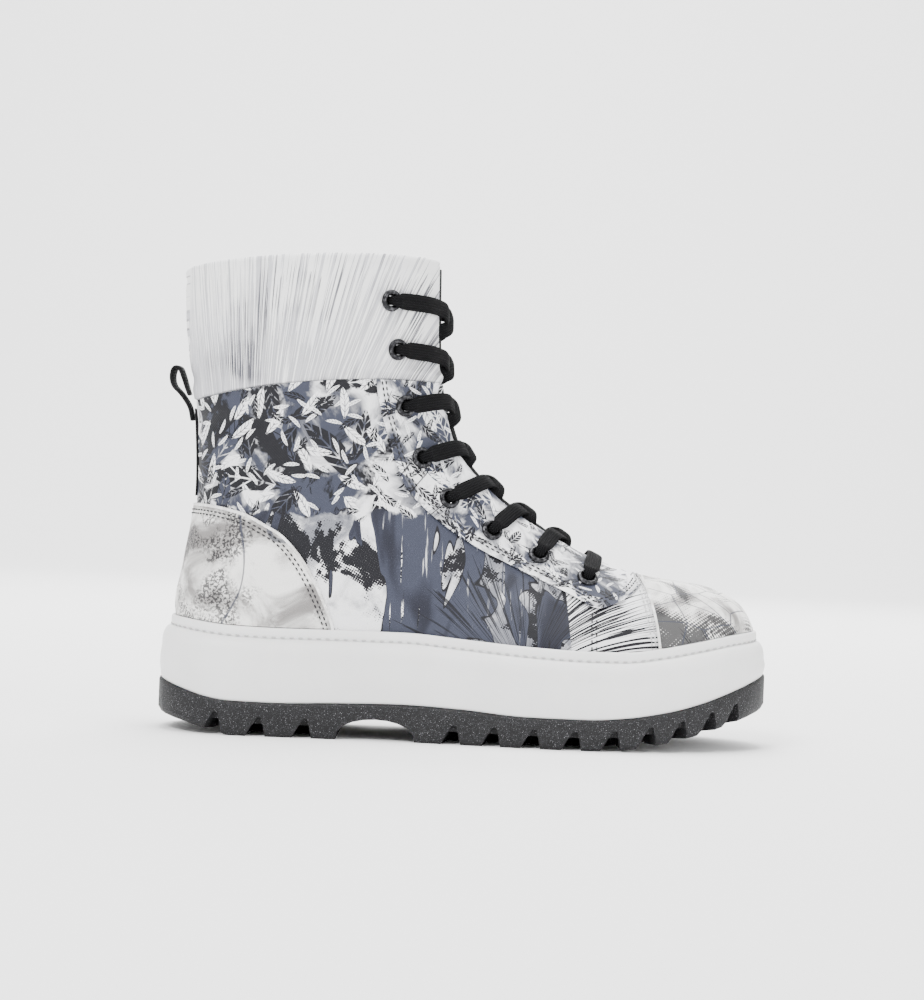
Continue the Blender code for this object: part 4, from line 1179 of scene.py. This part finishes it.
def make_insole(finish):
    inset = UPPER_INSET + WALL + 3 * CUP_GAP
    top = CUP_DEPTH - GAP - INSOLE_THICKNESS
    levels = (
        (inset + 0.0004, lambda x: rim_height(x) - CUP_DEPTH + GAP),
        (inset, lambda x: rim_height(x) - CUP_DEPTH + GAP + 0.0012),
        (inset, lambda x: rim_height(x) - top - 0.0010),
        (inset + 0.0004, lambda x: rim_height(x) - top - 0.0003),
        (inset + 0.0012, lambda x: rim_height(x) - top),
    )
    made = ring_body("insole_cloth", levels, finish)
    cloth_map(made)
    worn(made, "insole", "insole")


def rim_stitches():
    """Places of the stitches in the groove at the foot of the sole's rim."""
    inset = UPPER_INSET - CUP_GAP - RIM_THICKNESS - 0.0006
    ring = outline_ring(inset, lambda x: rim_height(x) - RIM_HEIGHT * 0.80)
    path = []
    for i, point in enumerate(ring):
        along = ring[(i + 1) % len(ring)] - ring[i - 1]
        path.append((point, Vector((-along.y, along.x, 0)).normalized() * -1))
    return path + [path[0]]


# The upper


def skirt(stations):
    """Band below the rim where the upper goes down into the sole's cup."""
    ring = []
    on_rim = [s for s in stations if s <= HEEL_STATION]
    for side, row in ((LATERAL, on_rim), (MEDIAL, on_rim[::-1])):
        ring += [section_point(station, 0, side) for station in row]
    drop = Vector((0, 0, CUP_DEPTH - CUP_GAP))
    points = ring + [foot - drop for foot in ring]
    count = len(ring)
    faces = [(i, (i + 1) % count, (i + 1) % count + count, i + count) for i in range(count)]
    return points, faces


def eyelet_spot(number, side):
    """Frame of an eyelet: its middle on its panel, its axis straight out."""
    place, normal = on_last(EYELETS[number][0], eyelet_run(number), side, panel_top(number))
    return Matrix.Translation(place) @ normal.to_track_quat("Z", "Y").to_matrix().to_4x4()


def eyelet_holes():
    """Cutter with a round pin at every eyelet, inside the wall of its barrel."""
    radius = EYELET_BORE + 0.0003
    made = show("eyelet holes", [], [], [])
    pin = {"cap_ends": True, "segments": 24, "radius1": radius, "radius2": radius, "depth": 0.014}
    with edited(made.data) as work:
        for side in SIDES:
            for number in range(len(EYELETS)):
                bmesh.ops.create_cone(work, matrix=eyelet_spot(number, side), **pin)
    return made


def make_upper(finish, lining, holes):
    """The hollow cloth upper: vamp, quarter and shaft in one wall, open at the throat."""
    stations = rows_between(0, SEAM_STATION)
    stations[-1] = SEAM_STATION - 0.02
    points, faces = sheet(stations)
    low_points, low_faces = skirt(stations)
    faces += [tuple(i + len(points) for i in face) for face in low_faces]
    made = show("upper_cloth", points + low_points, faces, finish)
    relax(made, lambda p: folded(p, CREASES) + uneven(p, 0.018, 0.00025))
    walled(made, WALL, lining=lining)
    cut(made, holes)
    return tailored(made, "upper")


def tailored(made, node):
    """Finish a cut piece of the upper: crisp edges, its cloth map and what it stands for."""
    finished(made)
    sharp_where_steep(made, 50)
    cloth_map(made)
    return worn(made, "upper", node)


def away_from_heel(point):
    back = min(point.x - HEEL_CORE_X, 0)
    return Vector((back, point.y - middle_line(point.x), 0)).normalized()


def away_from_toe(point):
    forward = max(point.x - TOE_CORE_X, 0)
    up = point.z - PLATFORM_HEIGHT
    return Vector((forward, point.y - middle_line(point.x), up)).normalized()


def end_overlay(name, cloth, outward, prism, rim, finish, node):
    """Overlay round the toe or the heel, raised away from the middle of that end."""
    base = show(name, *cloth, finish)
    points = [v.co.copy() for v in base.data.vertices]
    faces = [tuple(face.vertices) for face in base.data.polygons]
    bpy.data.objects.remove(base)
    count = len(points)
    shell = [point + outward(point) * OVERLAY_GAP for point in points]
    shell += [point + outward(point) * (OVERLAY_GAP + OVERLAY) for point in points]
    edges = {(face[i - 1], face[i]) for face in faces for i in range(len(face))}
    sides = [(a, b, b + count, a + count) for a, b in sorted(edges) if (b, a) not in edges]
    outside = [tuple(i + count for i in face) for face in faces]
    made = show(name, shell, [face[::-1] for face in faces] + outside + sides, finish)
    cut(made, prism, "INTERSECT")
    cut(made, rim)
    return tailored(made, node)


def make_eyestay(prism, rim, finish, holes):
    """The facing that carries the eyelets, one piece round the foot of the throat."""
    stations = rows_between(THROAT_STATION - 1, SEAM_STATION)
    stations[-1] = SEAM_STATION - 0.02
    made = show("eyestay_cloth", *sheet(stations, lift=OVERLAY_GAP), finish)
    walled(made, OVERLAY, inwards=False)
    cut(made, prism, "INTERSECT")
    cut(made, rim)
    cut(made, holes)
    return tailored(made, "eyestay")


def make_cuff(finish, holes):
    """Padded collar: a bulge over the seam, soft folds at the back, a rolled top edge."""
    stations = rows_between(SEAM_STATION, COLLAR_STATION, 0.0014)
    stations[0] = SEAM_STATION + 0.02
    roll = CUFF_WALL / 2

    def profile():
        """Station, lift and rise of each place from the seam over the top to the inside."""
        places = [(SEAM_STATION + 0.02, -CUFF_WALL * 0.7, 0.0), (SEAM_STATION + 0.02, -0.0006, -0.0008)]
        for i, station in enumerate(stations):
            up = station - SEAM_STATION
            bulge = 0.0016 * math.exp(-(((up - 0.30) / 0.26) ** 2))
            tuck = 0.0007 * math.exp(-(((up - 2.78) / 0.10) ** 2))
            places.append((station, GAP + bulge - tuck, 0.0))
        for i in range(1, 8):
            turn = math.pi * i / 8
            places.append((COLLAR_STATION, GAP - roll + roll * math.cos(turn), roll * math.sin(turn)))
        for station in stations[::-2]:
            places.append((station, GAP - CUFF_WALL, 0.0))
        return places

    columns = 76
    points = []
    rows = profile()
    for station, lift, rise in rows:
        for side in (LATERAL, MEDIAL):
            first = throat_edge(station)
            length = section_length(station, side) - first
            order = range(columns) if side == LATERAL else range(columns - 2, -1, -1)
            for j in order:
                way = j / (columns - 1)
                run = first + length * way
                point, normal = on_last(station, run, side)
                down = folded(point, CUFF_FOLDS) + uneven(point, 0.010, 0.00035, 4.0) if lift > -0.001 else 0
                points.append(point + normal * (lift - down) + Vector((0, 0, rise)))
    wide = 2 * columns - 1
    faces = grid(len(rows), wide)
    for column, flip in ((0, False), (wide - 1, True)):
        half = len(rows) // 2
        ends = [i * wide + column for i in range(len(rows))]
        for i in range(half):
            face = (ends[i], ends[i + 1], ends[-i - 2], ends[-i - 1])
            faces.append(face if flip else face[::-1])
    made = outwards(show("cuff_padded", points, faces, finish))
    cut(made, holes)
    finished(made)
    sharp_where_steep(made, 50)
    cloth_map(made)
    return worn(made, "cuff", "cuff")


def make_tongue(finish):
    top = COLLAR_STATION - TONGUE_DROP / (UPPER_HEIGHT * (LAST[-1][1] - LAST[-2][1]))
    low = THROAT_STATION - 0.8
    count, columns = 60, 22
    stations = [low + (top - low) * i / count for i in range(count + 1)]
    points, faces = [], []
    for side, flip in ((LATERAL, False), (MEDIAL, True)):
        faces += grid(len(stations), columns, start=len(points), flip=flip)
        for station in stations:
            way = (station - low) / (top - low)
            half = TONGUE_HALF_LOW + (TONGUE_HALF_TOP - TONGUE_HALF_LOW) * way
            slack = TONGUE_SLACK * min(max((station - low) / 3.0, 0.0), 1.0)
            thick = CUFF_WALL - WALL if station > SEAM_STATION - 1.2 else 0.0
            for j in range(columns):
                across = j / (columns - 1)
                open_half = max(throat_edge(station), 0.001)
                dome = 0.0054 * max(1 - (half * across / open_half) ** 2, 0) * min(max(station - 8.6, 0), 1)
                lift = -(WALL + thick + GAP + slack) + dome
                points.append(on_last(station, half * across, side, lift)[0])
    made = show("tongue_cloth", points, faces, finish)
    walled(made, TONGUE_THICKNESS - 0.0006)
    finished(made)
    cloth_map(made)
    return worn(made, "tongue", "tongue")


# Seams and sewing


def side_hit(tree, x, z, side):
    """Place and normal on a skin, seen straight from one side."""
    place, normal, _, _ = tree.ray_cast(Vector((x, side * REACH, z)), Vector((0, -side, 0)))
    return (place, normal) if place and normal.y * side > 0.25 else None


def cast(tree, start, direction):
    place, normal, _, _ = tree.ray_cast(start, direction)
    return (place, normal) if place else None


def seam_line(tree, edge, side, step=SEAM_STEP):
    """Places along an outline seen from the side, with the normals of the skin there."""
    line = [(sole_x(x), above_platform(z)) for x, z in smooth_line(edge, 12)]
    hits = [side_hit(tree, x, z, side) for x, z in line]
    return even_steps([hit for hit in hits if hit], step)


def even_steps(hits, step):
    """The same line with its places an even step apart."""
    lengths = [0.0]
    for before, after in zip(hits, hits[1:]):
        lengths.append(lengths[-1] + (after[0] - before[0]).length)
    count = max(int(lengths[-1] / step), 2)
    line, k = [], 0
    for i in range(count + 1):
        want = lengths[-1] * i / count
        while k < len(hits) - 2 and lengths[k + 1] < want:
            k += 1
        span = lengths[k + 1] - lengths[k]
        u = (want - lengths[k]) / span if span > 0 else 0.0
        place = hits[k][0].lerp(hits[k + 1][0], u)
        line.append((place, hits[k][1].lerp(hits[k + 1][1], u).normalized()))
    return line


def bridged(tree, lateral, medial, steps, begin, direction):
    """Two side lines joined by places found on a skin between their ends."""
    ways = (lateral[-1][0].lerp(medial[-1][0], i / steps) for i in range(1, steps))
    hits = [cast(tree, begin(way), direction) for way in ways]
    return even_steps(lateral + [hit for hit in hits if hit] + medial[::-1], SEAM_STEP)


def across_top(tree, lateral, medial):
    """Bridge between the ends of two side lines, over the ridge."""
    return bridged(tree, lateral, medial, 16, lambda p: Vector((p.x, p.y, REACH * 2)), Vector((0, 0, -1)))


def round_back(tree, lateral, medial):
    """Bridge between the ends of two side lines, round the heel."""
    return bridged(tree, lateral, medial, 24, lambda p: Vector((-REACH, p.y, p.z)), Vector((1, 0, 0)))


def beside(tree, line, offset, lift):
    """Line moved sideways over a skin by an offset and raised by a lift."""
    moved = []
    places = [place for place, _ in line]
    for i, (place, normal) in enumerate(line):
        sideways = normal.cross(way_along(places, i)).normalized()
        near, skin, _, _ = tree.find_nearest(place + sideways * offset)
        moved.append((near + skin * lift, skin))
    return moved


def bead(name, line, width, height, finish, slot, sides=8):
    """Flat rounded strip along a line: a turned edge or a row of piping."""
    points = []
    places = [place for place, _ in line]
    for i, (place, normal) in enumerate(line):
        sideways = normal.cross(way_along(places, i).normalized()).normalized()
        for j in range(sides):
            turn = 2 * math.pi * j / sides
            points.append(place + sideways * width / 2 * math.cos(turn) + normal * height * math.sin(turn))
    made = tube(name, points, sides, finish)
    cloth_map(made)
    return worn(made, slot)


def sewing_tree(finish):
    """Geometry Nodes that lay one stitch on every point of a mesh, along its direction."""
    tree = bpy.data.node_groups.new("row of stitches", "GeometryNodeTree")
    face = tree.interface
    face.new_socket("Line", in_out="INPUT", socket_type="NodeSocketGeometry")
    for name in ("Stitch Length", "Thread Radius"):
        face.new_socket(name, in_out="INPUT", socket_type="NodeSocketFloat")
    face.new_socket("Stitches", in_out="OUTPUT", socket_type="NodeSocketGeometry")
    put = tree.nodes.new
    join = tree.links.new
    given, result = put("NodeGroupInput"), put("NodeGroupOutput")
    ball = put("GeometryNodeMeshUVSphere")
    ball.inputs["Segments"].default_value = 6
    ball.inputs["Rings"].default_value = 5
    ball.inputs["Radius"].default_value = 1.0
    size = put("ShaderNodeCombineXYZ")
    half = put("ShaderNodeMath")
    half.operation = "MULTIPLY"
    half.inputs[1].default_value = 0.5
    join(given.outputs["Stitch Length"], half.inputs[0])
    join(half.outputs[0], size.inputs[0])
    join(given.outputs["Thread Radius"], size.inputs[1])
    join(given.outputs["Thread Radius"], size.inputs[2])
    turns = []
    for attribute in ("along", "up"):
        read = put("GeometryNodeInputNamedAttribute")
        read.data_type = "FLOAT_VECTOR"
        read.inputs["Name"].default_value = attribute
        turns.append(read.outputs[0])
    first, second = put("FunctionNodeAlignRotationToVector"), put("FunctionNodeAlignRotationToVector")
    first.axis, second.axis, second.pivot_axis = "X", "Z", "X"
    join(turns[0], first.inputs["Vector"])
    join(turns[1], second.inputs["Vector"])
    join(first.outputs[0], second.inputs["Rotation"])
    place = put("GeometryNodeInstanceOnPoints")
    join(given.outputs["Line"], place.inputs["Points"])
    join(ball.outputs["Mesh"], place.inputs["Instance"])
    join(second.outputs[0], place.inputs["Rotation"])
    join(size.outputs[0], place.inputs["Scale"])
    real = put("GeometryNodeRealizeInstances")
    paint = put("GeometryNodeSetMaterial")
    paint.inputs["Material"].default_value = finish
    join(place.outputs[0], real.inputs[0])
    join(real.outputs[0], paint.inputs["Geometry"])
    join(paint.outputs[0], result.inputs[0])
    return tree


def sew(name, lines, finish, slot, length=STITCH_LENGTH, radius=THREAD, pitch=STITCH_PITCH):
    """One joined mesh of all the stitches of a thread."""
    places, along, up = [], [], []
    for line in lines:
        spaced = even_steps(line, pitch)
        for i in range(len(spaced) - 1):
            places.append(spaced[i][0].lerp(spaced[i + 1][0], 0.5))
            along.append((spaced[i + 1][0] - spaced[i][0]).normalized())
            up.append(spaced[i][1])
    mesh = bpy.data.meshes.new(name)
    mesh.from_pydata(places, [], [])
    for key, values in (("along", along), ("up", up)):
        layer = mesh.attributes.new(key, "FLOAT_VECTOR", "POINT")
        layer.data.foreach_set("vector", [c for value in values for c in value])
    made = placed(name, mesh)
    tree = sewing_tree(finish)
    step = made.modifiers.new("stitches", "NODES")
    step.node_group = tree
    sizes = {"Stitch Length": length, "Thread Radius": radius}
    for item in tree.interface.items_tree:
        if item.in_out == "INPUT" and item.name in sizes:
            step[item.identifier] = sizes[item.name]
    finished(made)
    made.data.materials.clear()
    made.data.materials.append(finish)
    made.data.shade_smooth()
    return worn(made, slot)


# Eyelets and lacing


def panel_top(number):
    """Height above the last of the panel that an eyelet sits in."""
    return GAP if number >= len(EYELETS) - CUFF_EYELETS else OVERLAY_TOP


def eyelet_run(number):
    station, from_edge = EYELETS[number]
    return throat_edge(station) + from_edge * THROAT_TOP


def make_eyelets(finish):
    """Rolled metal rings with their barrels, one in every hole."""
    low = 0.0004
    outer, bore = EYELET_RADIUS, EYELET_BORE
    profile = [(bore + 0.0004, -0.0042), (bore, -0.0030), (bore, 0.0006)]
    for i in range(9):
        turn = math.pi * (1 - i / 8)
        middle, half = (outer + bore) / 2, (outer - bore) / 2
        profile.append((middle + half * math.cos(turn), low + 0.0011 * math.sin(turn) ** 0.8))
    profile += [(outer, low - 0.0004), (outer - 0.0012, low - 0.0005), (bore + 0.0005, low - 0.0006)]
    sides = 36
    points, faces = [], []
    for side in SIDES:
        for number in range(len(EYELETS)):
            spot = eyelet_spot(number, side)
            start = len(points)
            for radius, height in profile:
                for j in range(sides):
                    turn = 2 * math.pi * j / sides
                    points.append(spot @ Vector((radius * math.cos(turn), radius * math.sin(turn), height)))
            faces += grid(len(profile), sides, start=start, wrap=True)
            last = start + (len(profile) - 1) * sides
            for j in range(sides):
                k = (j + 1) % sides
                faces.append((last + j, start + j, start + k, last + k))
    made = outwards(show("eyelets_metal", points, faces, finish))
    nodes = [f"eyelet_{SIDE_WORDS[side]}_{number + 1}" for side in SIDES for number in range(len(EYELETS))]
    return worn(made, "eyelet", *nodes)


# Way of a lace out of an eyelet: from its middle, above its panel, share of its width.
OUT_OF_EYELET = (
    # away, lift, share
    (0.0006, -0.0060, 0.50),
    (0.0003, -0.0015, 0.50),
    (-0.0004, 0.0016, 0.56),
    (-0.0026, 0.0029, 0.72),
    (-0.0056, 0.0022, 0.98),
)
# Way of a lace over the tongue: share of the throat's width, height above the last.
OVER_TONGUE = ((0.14, 0.0030), (0.34, 0.0026), (0.54, 0.0022), (0.74, 0.0012), (0.90, -0.0012))
# How much higher the run on each side lies where the two cross.
OVER_THE_OTHER = {LATERAL: 0.0, MEDIAL: 0.0021}


def ribbon(name, route, finish, node):
    """Flat lace along a route of stations, runs, sides, lifts and shares of its width."""
    places = []
    for station, run, side, lift, share in route:
        place, normal = on_last(station, run, side, lift)
        places.append((*place, *normal, share))
    fine = smooth_line(places, 7)
    centre = [Vector(row[:3]) for row in fine]
    flat = []
    for i, row in enumerate(fine):
        ahead = way_along(centre, i, 3)
        normal = Vector(row[3:6]).normalized()
        ahead -= normal * ahead.dot(normal)
        flat.append(normal.cross(ahead).normalized() if ahead.length > 1e-5 else None)
    for i in range(len(flat)):
        if flat[i] is None:
            flat[i] = next(f for f in flat[i:] + flat[::-1] if f is not None)
    sides = 14
    points, place_on_map = [], []
    gone = 0.0
    for i, row in enumerate(fine):
        tangent = way_along(centre, i).normalized()
        wide = (flat[i] - tangent * flat[i].dot(tangent)).normalized()
        thick = tangent.cross(wide)
        gone += (centre[i] - centre[i - 1]).length if i else 0.0
        share = row[6]
        half_height = LACE_THICKNESS / 2 * (1 + 0.5 * (1 - share))
        for across, through in strap_section(sides, LACE_WIDTH / 2 * share, half_height, 0.6, 0.7):
            points.append(centre[i] + wide * across + thick * through)
            place_on_map.append((gone, across))
    made = tube(name, points, sides, finish, merge=1e-7)
    layer = made.data.uv_layers.new(name="lace")
    for loop in made.data.loops:
        layer.data[loop.index].uv = place_on_map[loop.vertex_index]
    return worn(made, "lace", node) if node else worn(made, "lace")


def out_of_eyelet(number, side):
    """Route of a lace from under the wall, up through an eyelet and over its flange."""
    station, run, top = EYELETS[number][0], eyelet_run(number), panel_top(number)
    return [(station, run + away, side, top + lift, share) for away, lift, share in OUT_OF_EYELET]


def make_laces(finish):
    """The bar over the lowest eyelets, then two runs that cross above each pair."""
    low, top = EYELETS[0][0], panel_top(0)
    first = eyelet_run(0)
    lateral, medial = (out_of_eyelet(0, side) for side in SIDES)
    middle = [(low, first * share, LATERAL, top + 0.0014, 1.0) for share in (0.5, 0.25)]
    middle += [(low, 0.0, MEDIAL, top + 0.0014, 1.0)]
    middle += [(low, first * share, MEDIAL, top + 0.0014, 1.0) for share in (0.25, 0.5)]
    ribbon("lace_bar_braid", lateral + middle + medial[::-1], finish, "lace_bar")
    for number in range(1, len(EYELETS)):
        for side, over in OVER_THE_OTHER.items():
            node = f"lace_cross_{number}" if side == LATERAL else None
            ribbon(f"lace_{SIDE_WORDS[side]}_{number}_braid", crossing(number, side, over), finish, node)


def crossing(number, side, over):
    """Route from an eyelet over the near flap, across the tongue and under the far flap."""
    station, below = EYELETS[number][0], EYELETS[number - 1][0]
    edge, far_edge = throat_edge(station), throat_edge(below)
    top = panel_top(number)
    route = out_of_eyelet(number, side)
    near = eyelet_run(number) + OUT_OF_EYELET[-1][0]
    hold = top + LACE_THICKNESS / 2 + 0.0003
    route.append((station, edge + (near - edge) * 0.45, side, hold, 1.0))
    route.append((station - 0.02 * (station - below), edge + 0.0012, side, hold + 0.0004, 1.0))
    total = edge + eyelet_run(number - 1)
    throat = edge + far_edge
    for share, lift in OVER_TONGUE:
        rise = over * math.exp(-(((share - 0.5) / 0.30) ** 2))
        way = share * throat / total
        route.append((station + (below - station) * way, edge - share * throat, side, lift + rise, 1.0))
    for share in (0.04, 0.35, 0.75):
        run = throat + (total - throat) * share
        lift = -WALL - LACE_THICKNESS / 2 - 0.0002
        route.append((station + (below - station) * run / total, edge - run, side, lift, 0.8))
    return route


# Tape and loop


def make_back_tape(finish):
    """Webbing over the back seam, from the counter's top to the cuff."""
    first, last = 15.94, SEAM_STATION - 0.12
    stations = [first + (last - first) * i / 26 for i in range(27)]
    lift = GAP + TAPE_THICKNESS

    def start(station):
        return section_length(station, LATERAL) - TAPE_WIDTH / 2

    made = show("back_tape_web", *sheet(stations, start=start, lift=lift, columns=9), finish)
    walled(made, TAPE_THICKNESS)
    finished(made)
    cloth_map(made)
    return worn(made, "webbing", "back_tape")


def make_pull_loop(finish):
    """Folded webbing with round edges, a little twisted."""
    middle = middle_line(sole_x(0))
    line = smooth_line(PULL_LOOP, 6)
    centre = [Vector((sole_x(x) - LOOP_THICKNESS * 0.5, middle, above_platform(z))) for x, z in line]
    points, sides = [], 16
    for i, place in enumerate(centre):
        along = way_along(centre, i).normalized()
        way = i / (len(centre) - 1)
        wide = Vector((0.10 * math.sin(math.pi * way), 1, 0)).normalized()
        thick = along.cross(wide).normalized()
        for across, through in strap_section(sides, LOOP_WIDTH / 2, LOOP_THICKNESS * 0.68, 0.5, 0.6):
            points.append(place + wide * across + thick * through)
    made = tube("pull_loop_web", points, sides, finish)
    cloth_map(made)
    return worn(made, "webbing", "pull_loop")


# The studio


LAMPS = (
    # name, place, size, power, aim
    ("key", (-0.8, -1.5, 1.7), 0.9, 58, (0, 0, 0.1)),
    ("fill", (1.4, -1.2, 0.8), 1.3, 18, (0, 0, 0.1)),
    ("top", (0.0, 0.1, 1.9), 0.8, 34, (0, 0, 0.1)),
    ("back", (0.2, 1.5, 1.1), 1.2, 18, (0, 0, 0.1)),
    ("paper", (0.0, 1.2, 2.6), 2.0, 150, (0, 3.2, 1.0)),
)


def make_studio():
    """Plain white floor, white surroundings, soft lamps and the camera of the photograph."""
    reach, wide, bend = 2.2, 5.0, 1.4
    rows = [(-wide, 0.0), (reach, 0.0)]
    turns = [i * math.pi / 24 for i in range(1, 13)]
    rows += [(reach + bend * math.sin(turn), bend * (1 - math.cos(turn))) for turn in turns]
    rows.append((reach + bend, 4.0))
    points = [Vector((x, y, z)) for y, z in rows for x in (-wide, wide)]
    paper, _, shader = new_finish("studio paper", 0.95, 0.0)
    shader.inputs["Base Color"].default_value = (0.93, 0.93, 0.93, 1)
    floor = show("studio_floor", points, [face[::-1] for face in grid(len(rows), 2)], paper)
    world = bpy.data.worlds.new("studio")
    world.use_nodes = True
    air = world.node_tree.nodes["Background"].inputs
    air["Color"].default_value = (1, 1, 1, 1)
    air["Strength"].default_value = 1.25
    bpy.context.scene.world = world
    for name, place, size, power, aim in LAMPS:
        light = bpy.data.lights.new(name, "AREA")
        light.size = size
        light.energy = power
        lamp = placed(name, light)
        lamp.location = place
        lamp.rotation_euler = (Vector(aim) - Vector(place)).to_track_quat("-Z", "Y").to_euler()
    camera = bpy.data.cameras.new("camera")
    camera.lens = 89.7
    camera.sensor_fit = "VERTICAL"
    camera.sensor_height = 36
    eye = placed("camera", camera)
    roll = math.radians(2.2)
    c, s = math.cos(roll), math.sin(roll)
    eye.matrix_world = Matrix(((c, -s, 0, -0.00355), (0, 0, -1, -1.2), (s, c, 0, 0.1135), (0, 0, 0, 1)))
    bpy.context.scene.camera = eye


def main():
    black = plain_cloth("black cloth", (0.003, 0.003, 0.0035))
    lining = plain_cloth("lining cloth", (0.010, 0.010, 0.011), 900)
    webbing = plain_cloth("black webbing", (0.0035, 0.0035, 0.004), 1400)
    edge_white = plain_cloth("turned edge", (0.62, 0.61, 0.59), 1500, 0.6)
    quarter = quarter_print()

    make_outsole()
    make_midsole()
    make_insole(lining)
    holes = eyelet_holes()
    upper = make_upper(quarter, lining, holes)
    make_cuff(cuff_cloth(), holes)
    make_tongue(black)

    around = -0.004
    rim_levels = ((around, lambda x: OUTSOLE_THICKNESS), (around, lambda x: rim_height(x) + GAP))
    rim = ring_body("rim", rim_levels, [])
    counter = side_prism("counter outline", COUNTER_EDGE, ((-0.1, 0.322), (-0.1, -0.030)))
    stay = side_prism("eyestay outline", EYESTAY_EDGE, ((0.9, 0.190), (0.9, 0.680)))
    cap = side_prism("cap outline", CAP_EDGE, ((1.2, -0.040), (1.2, 0.185)))
    heel = sheet(rows_between(9, SEAM_STATION), skip=14)
    end_overlay("heel_counter_cloth", heel, away_from_heel, counter, rim, counter_print(), "heel_counter")
    toe = sheet(rows_between(0, THROAT_STATION))
    end_overlay("toe_cap_cloth", toe, away_from_toe, cap, rim, cap_print(), "toe_cap")
    stay_cloth = eyestay_print()
    make_eyestay(stay, rim, stay_cloth, holes)
    for cutter in (rim, counter, stay, cap, holes):
        bpy.data.objects.remove(cutter)

    skin = BVHTree.FromObject(upper, bpy.context.evaluated_depsgraph_get())
    counter_line = round_back(skin, *(seam_line(skin, COUNTER_EDGE, side) for side in SIDES))
    cap_line = across_top(skin, *(seam_line(skin, CAP_EDGE[::-1], side) for side in SIDES))
    stay_lines = {side: seam_line(skin, EYESTAY_EDGE, side) for side in SIDES}
    edges = [
        # name, line, depth below the overlay's top, width, height, finish
        ("counter_edge", counter_line, 0.0003, 0.0016, 0.0006, edge_white),
        ("cap_edge", cap_line, 0.0003, 0.0014, 0.0005, edge_white),
    ]
    for side, line in stay_lines.items():
        edges.append(("eyestay_edge_" + SIDE_WORDS[side], line, 0.0005, 0.0010, 0.0004, stay_cloth))
    for name, line, depth, width, height, finish in edges:
        bead(name, beside(skin, line, 0.0, OVERLAY_TOP - depth), width, height, finish, "upper")
    on_overlay = OVERLAY_TOP + STITCH_LIFT
    dark, pale = thread("dark thread", (0.012, 0.012, 0.014)), thread("pale thread", (0.55, 0.55, 0.55))
    dark_lines = [beside(skin, counter_line, offset, on_overlay) for offset in COUNTER_ROWS]
    for side, line in stay_lines.items():
        dark_lines += [beside(skin, line, side * offset, on_overlay) for offset in STAY_ROWS]
    for x in VAMP_SEAM_X:
        share = sole_share(x)
        seam = ((share, 0.075), (share, 0.030), (share + 0.001, -0.030))
        dark_lines += [beside(skin, seam_line(skin, seam, side), 0.0, STITCH_LIFT) for side in SIDES]
    sew("dark_stitches", dark_lines, dark, "upper")
    pale_lines = [beside(skin, cap_line, offset, on_overlay) for offset in CAP_ROWS]
    sew("pale_stitches", pale_lines, pale, "upper")
    sew("rim_stitches", [rim_stitches()], pale, "midsole", 0.0026, 0.0004, 0.0042)

    make_back_tape(webbing)
    make_pull_loop(webbing)
    make_eyelets(black_enamel())
    make_laces(lace_cloth())
    make_studio()


main()
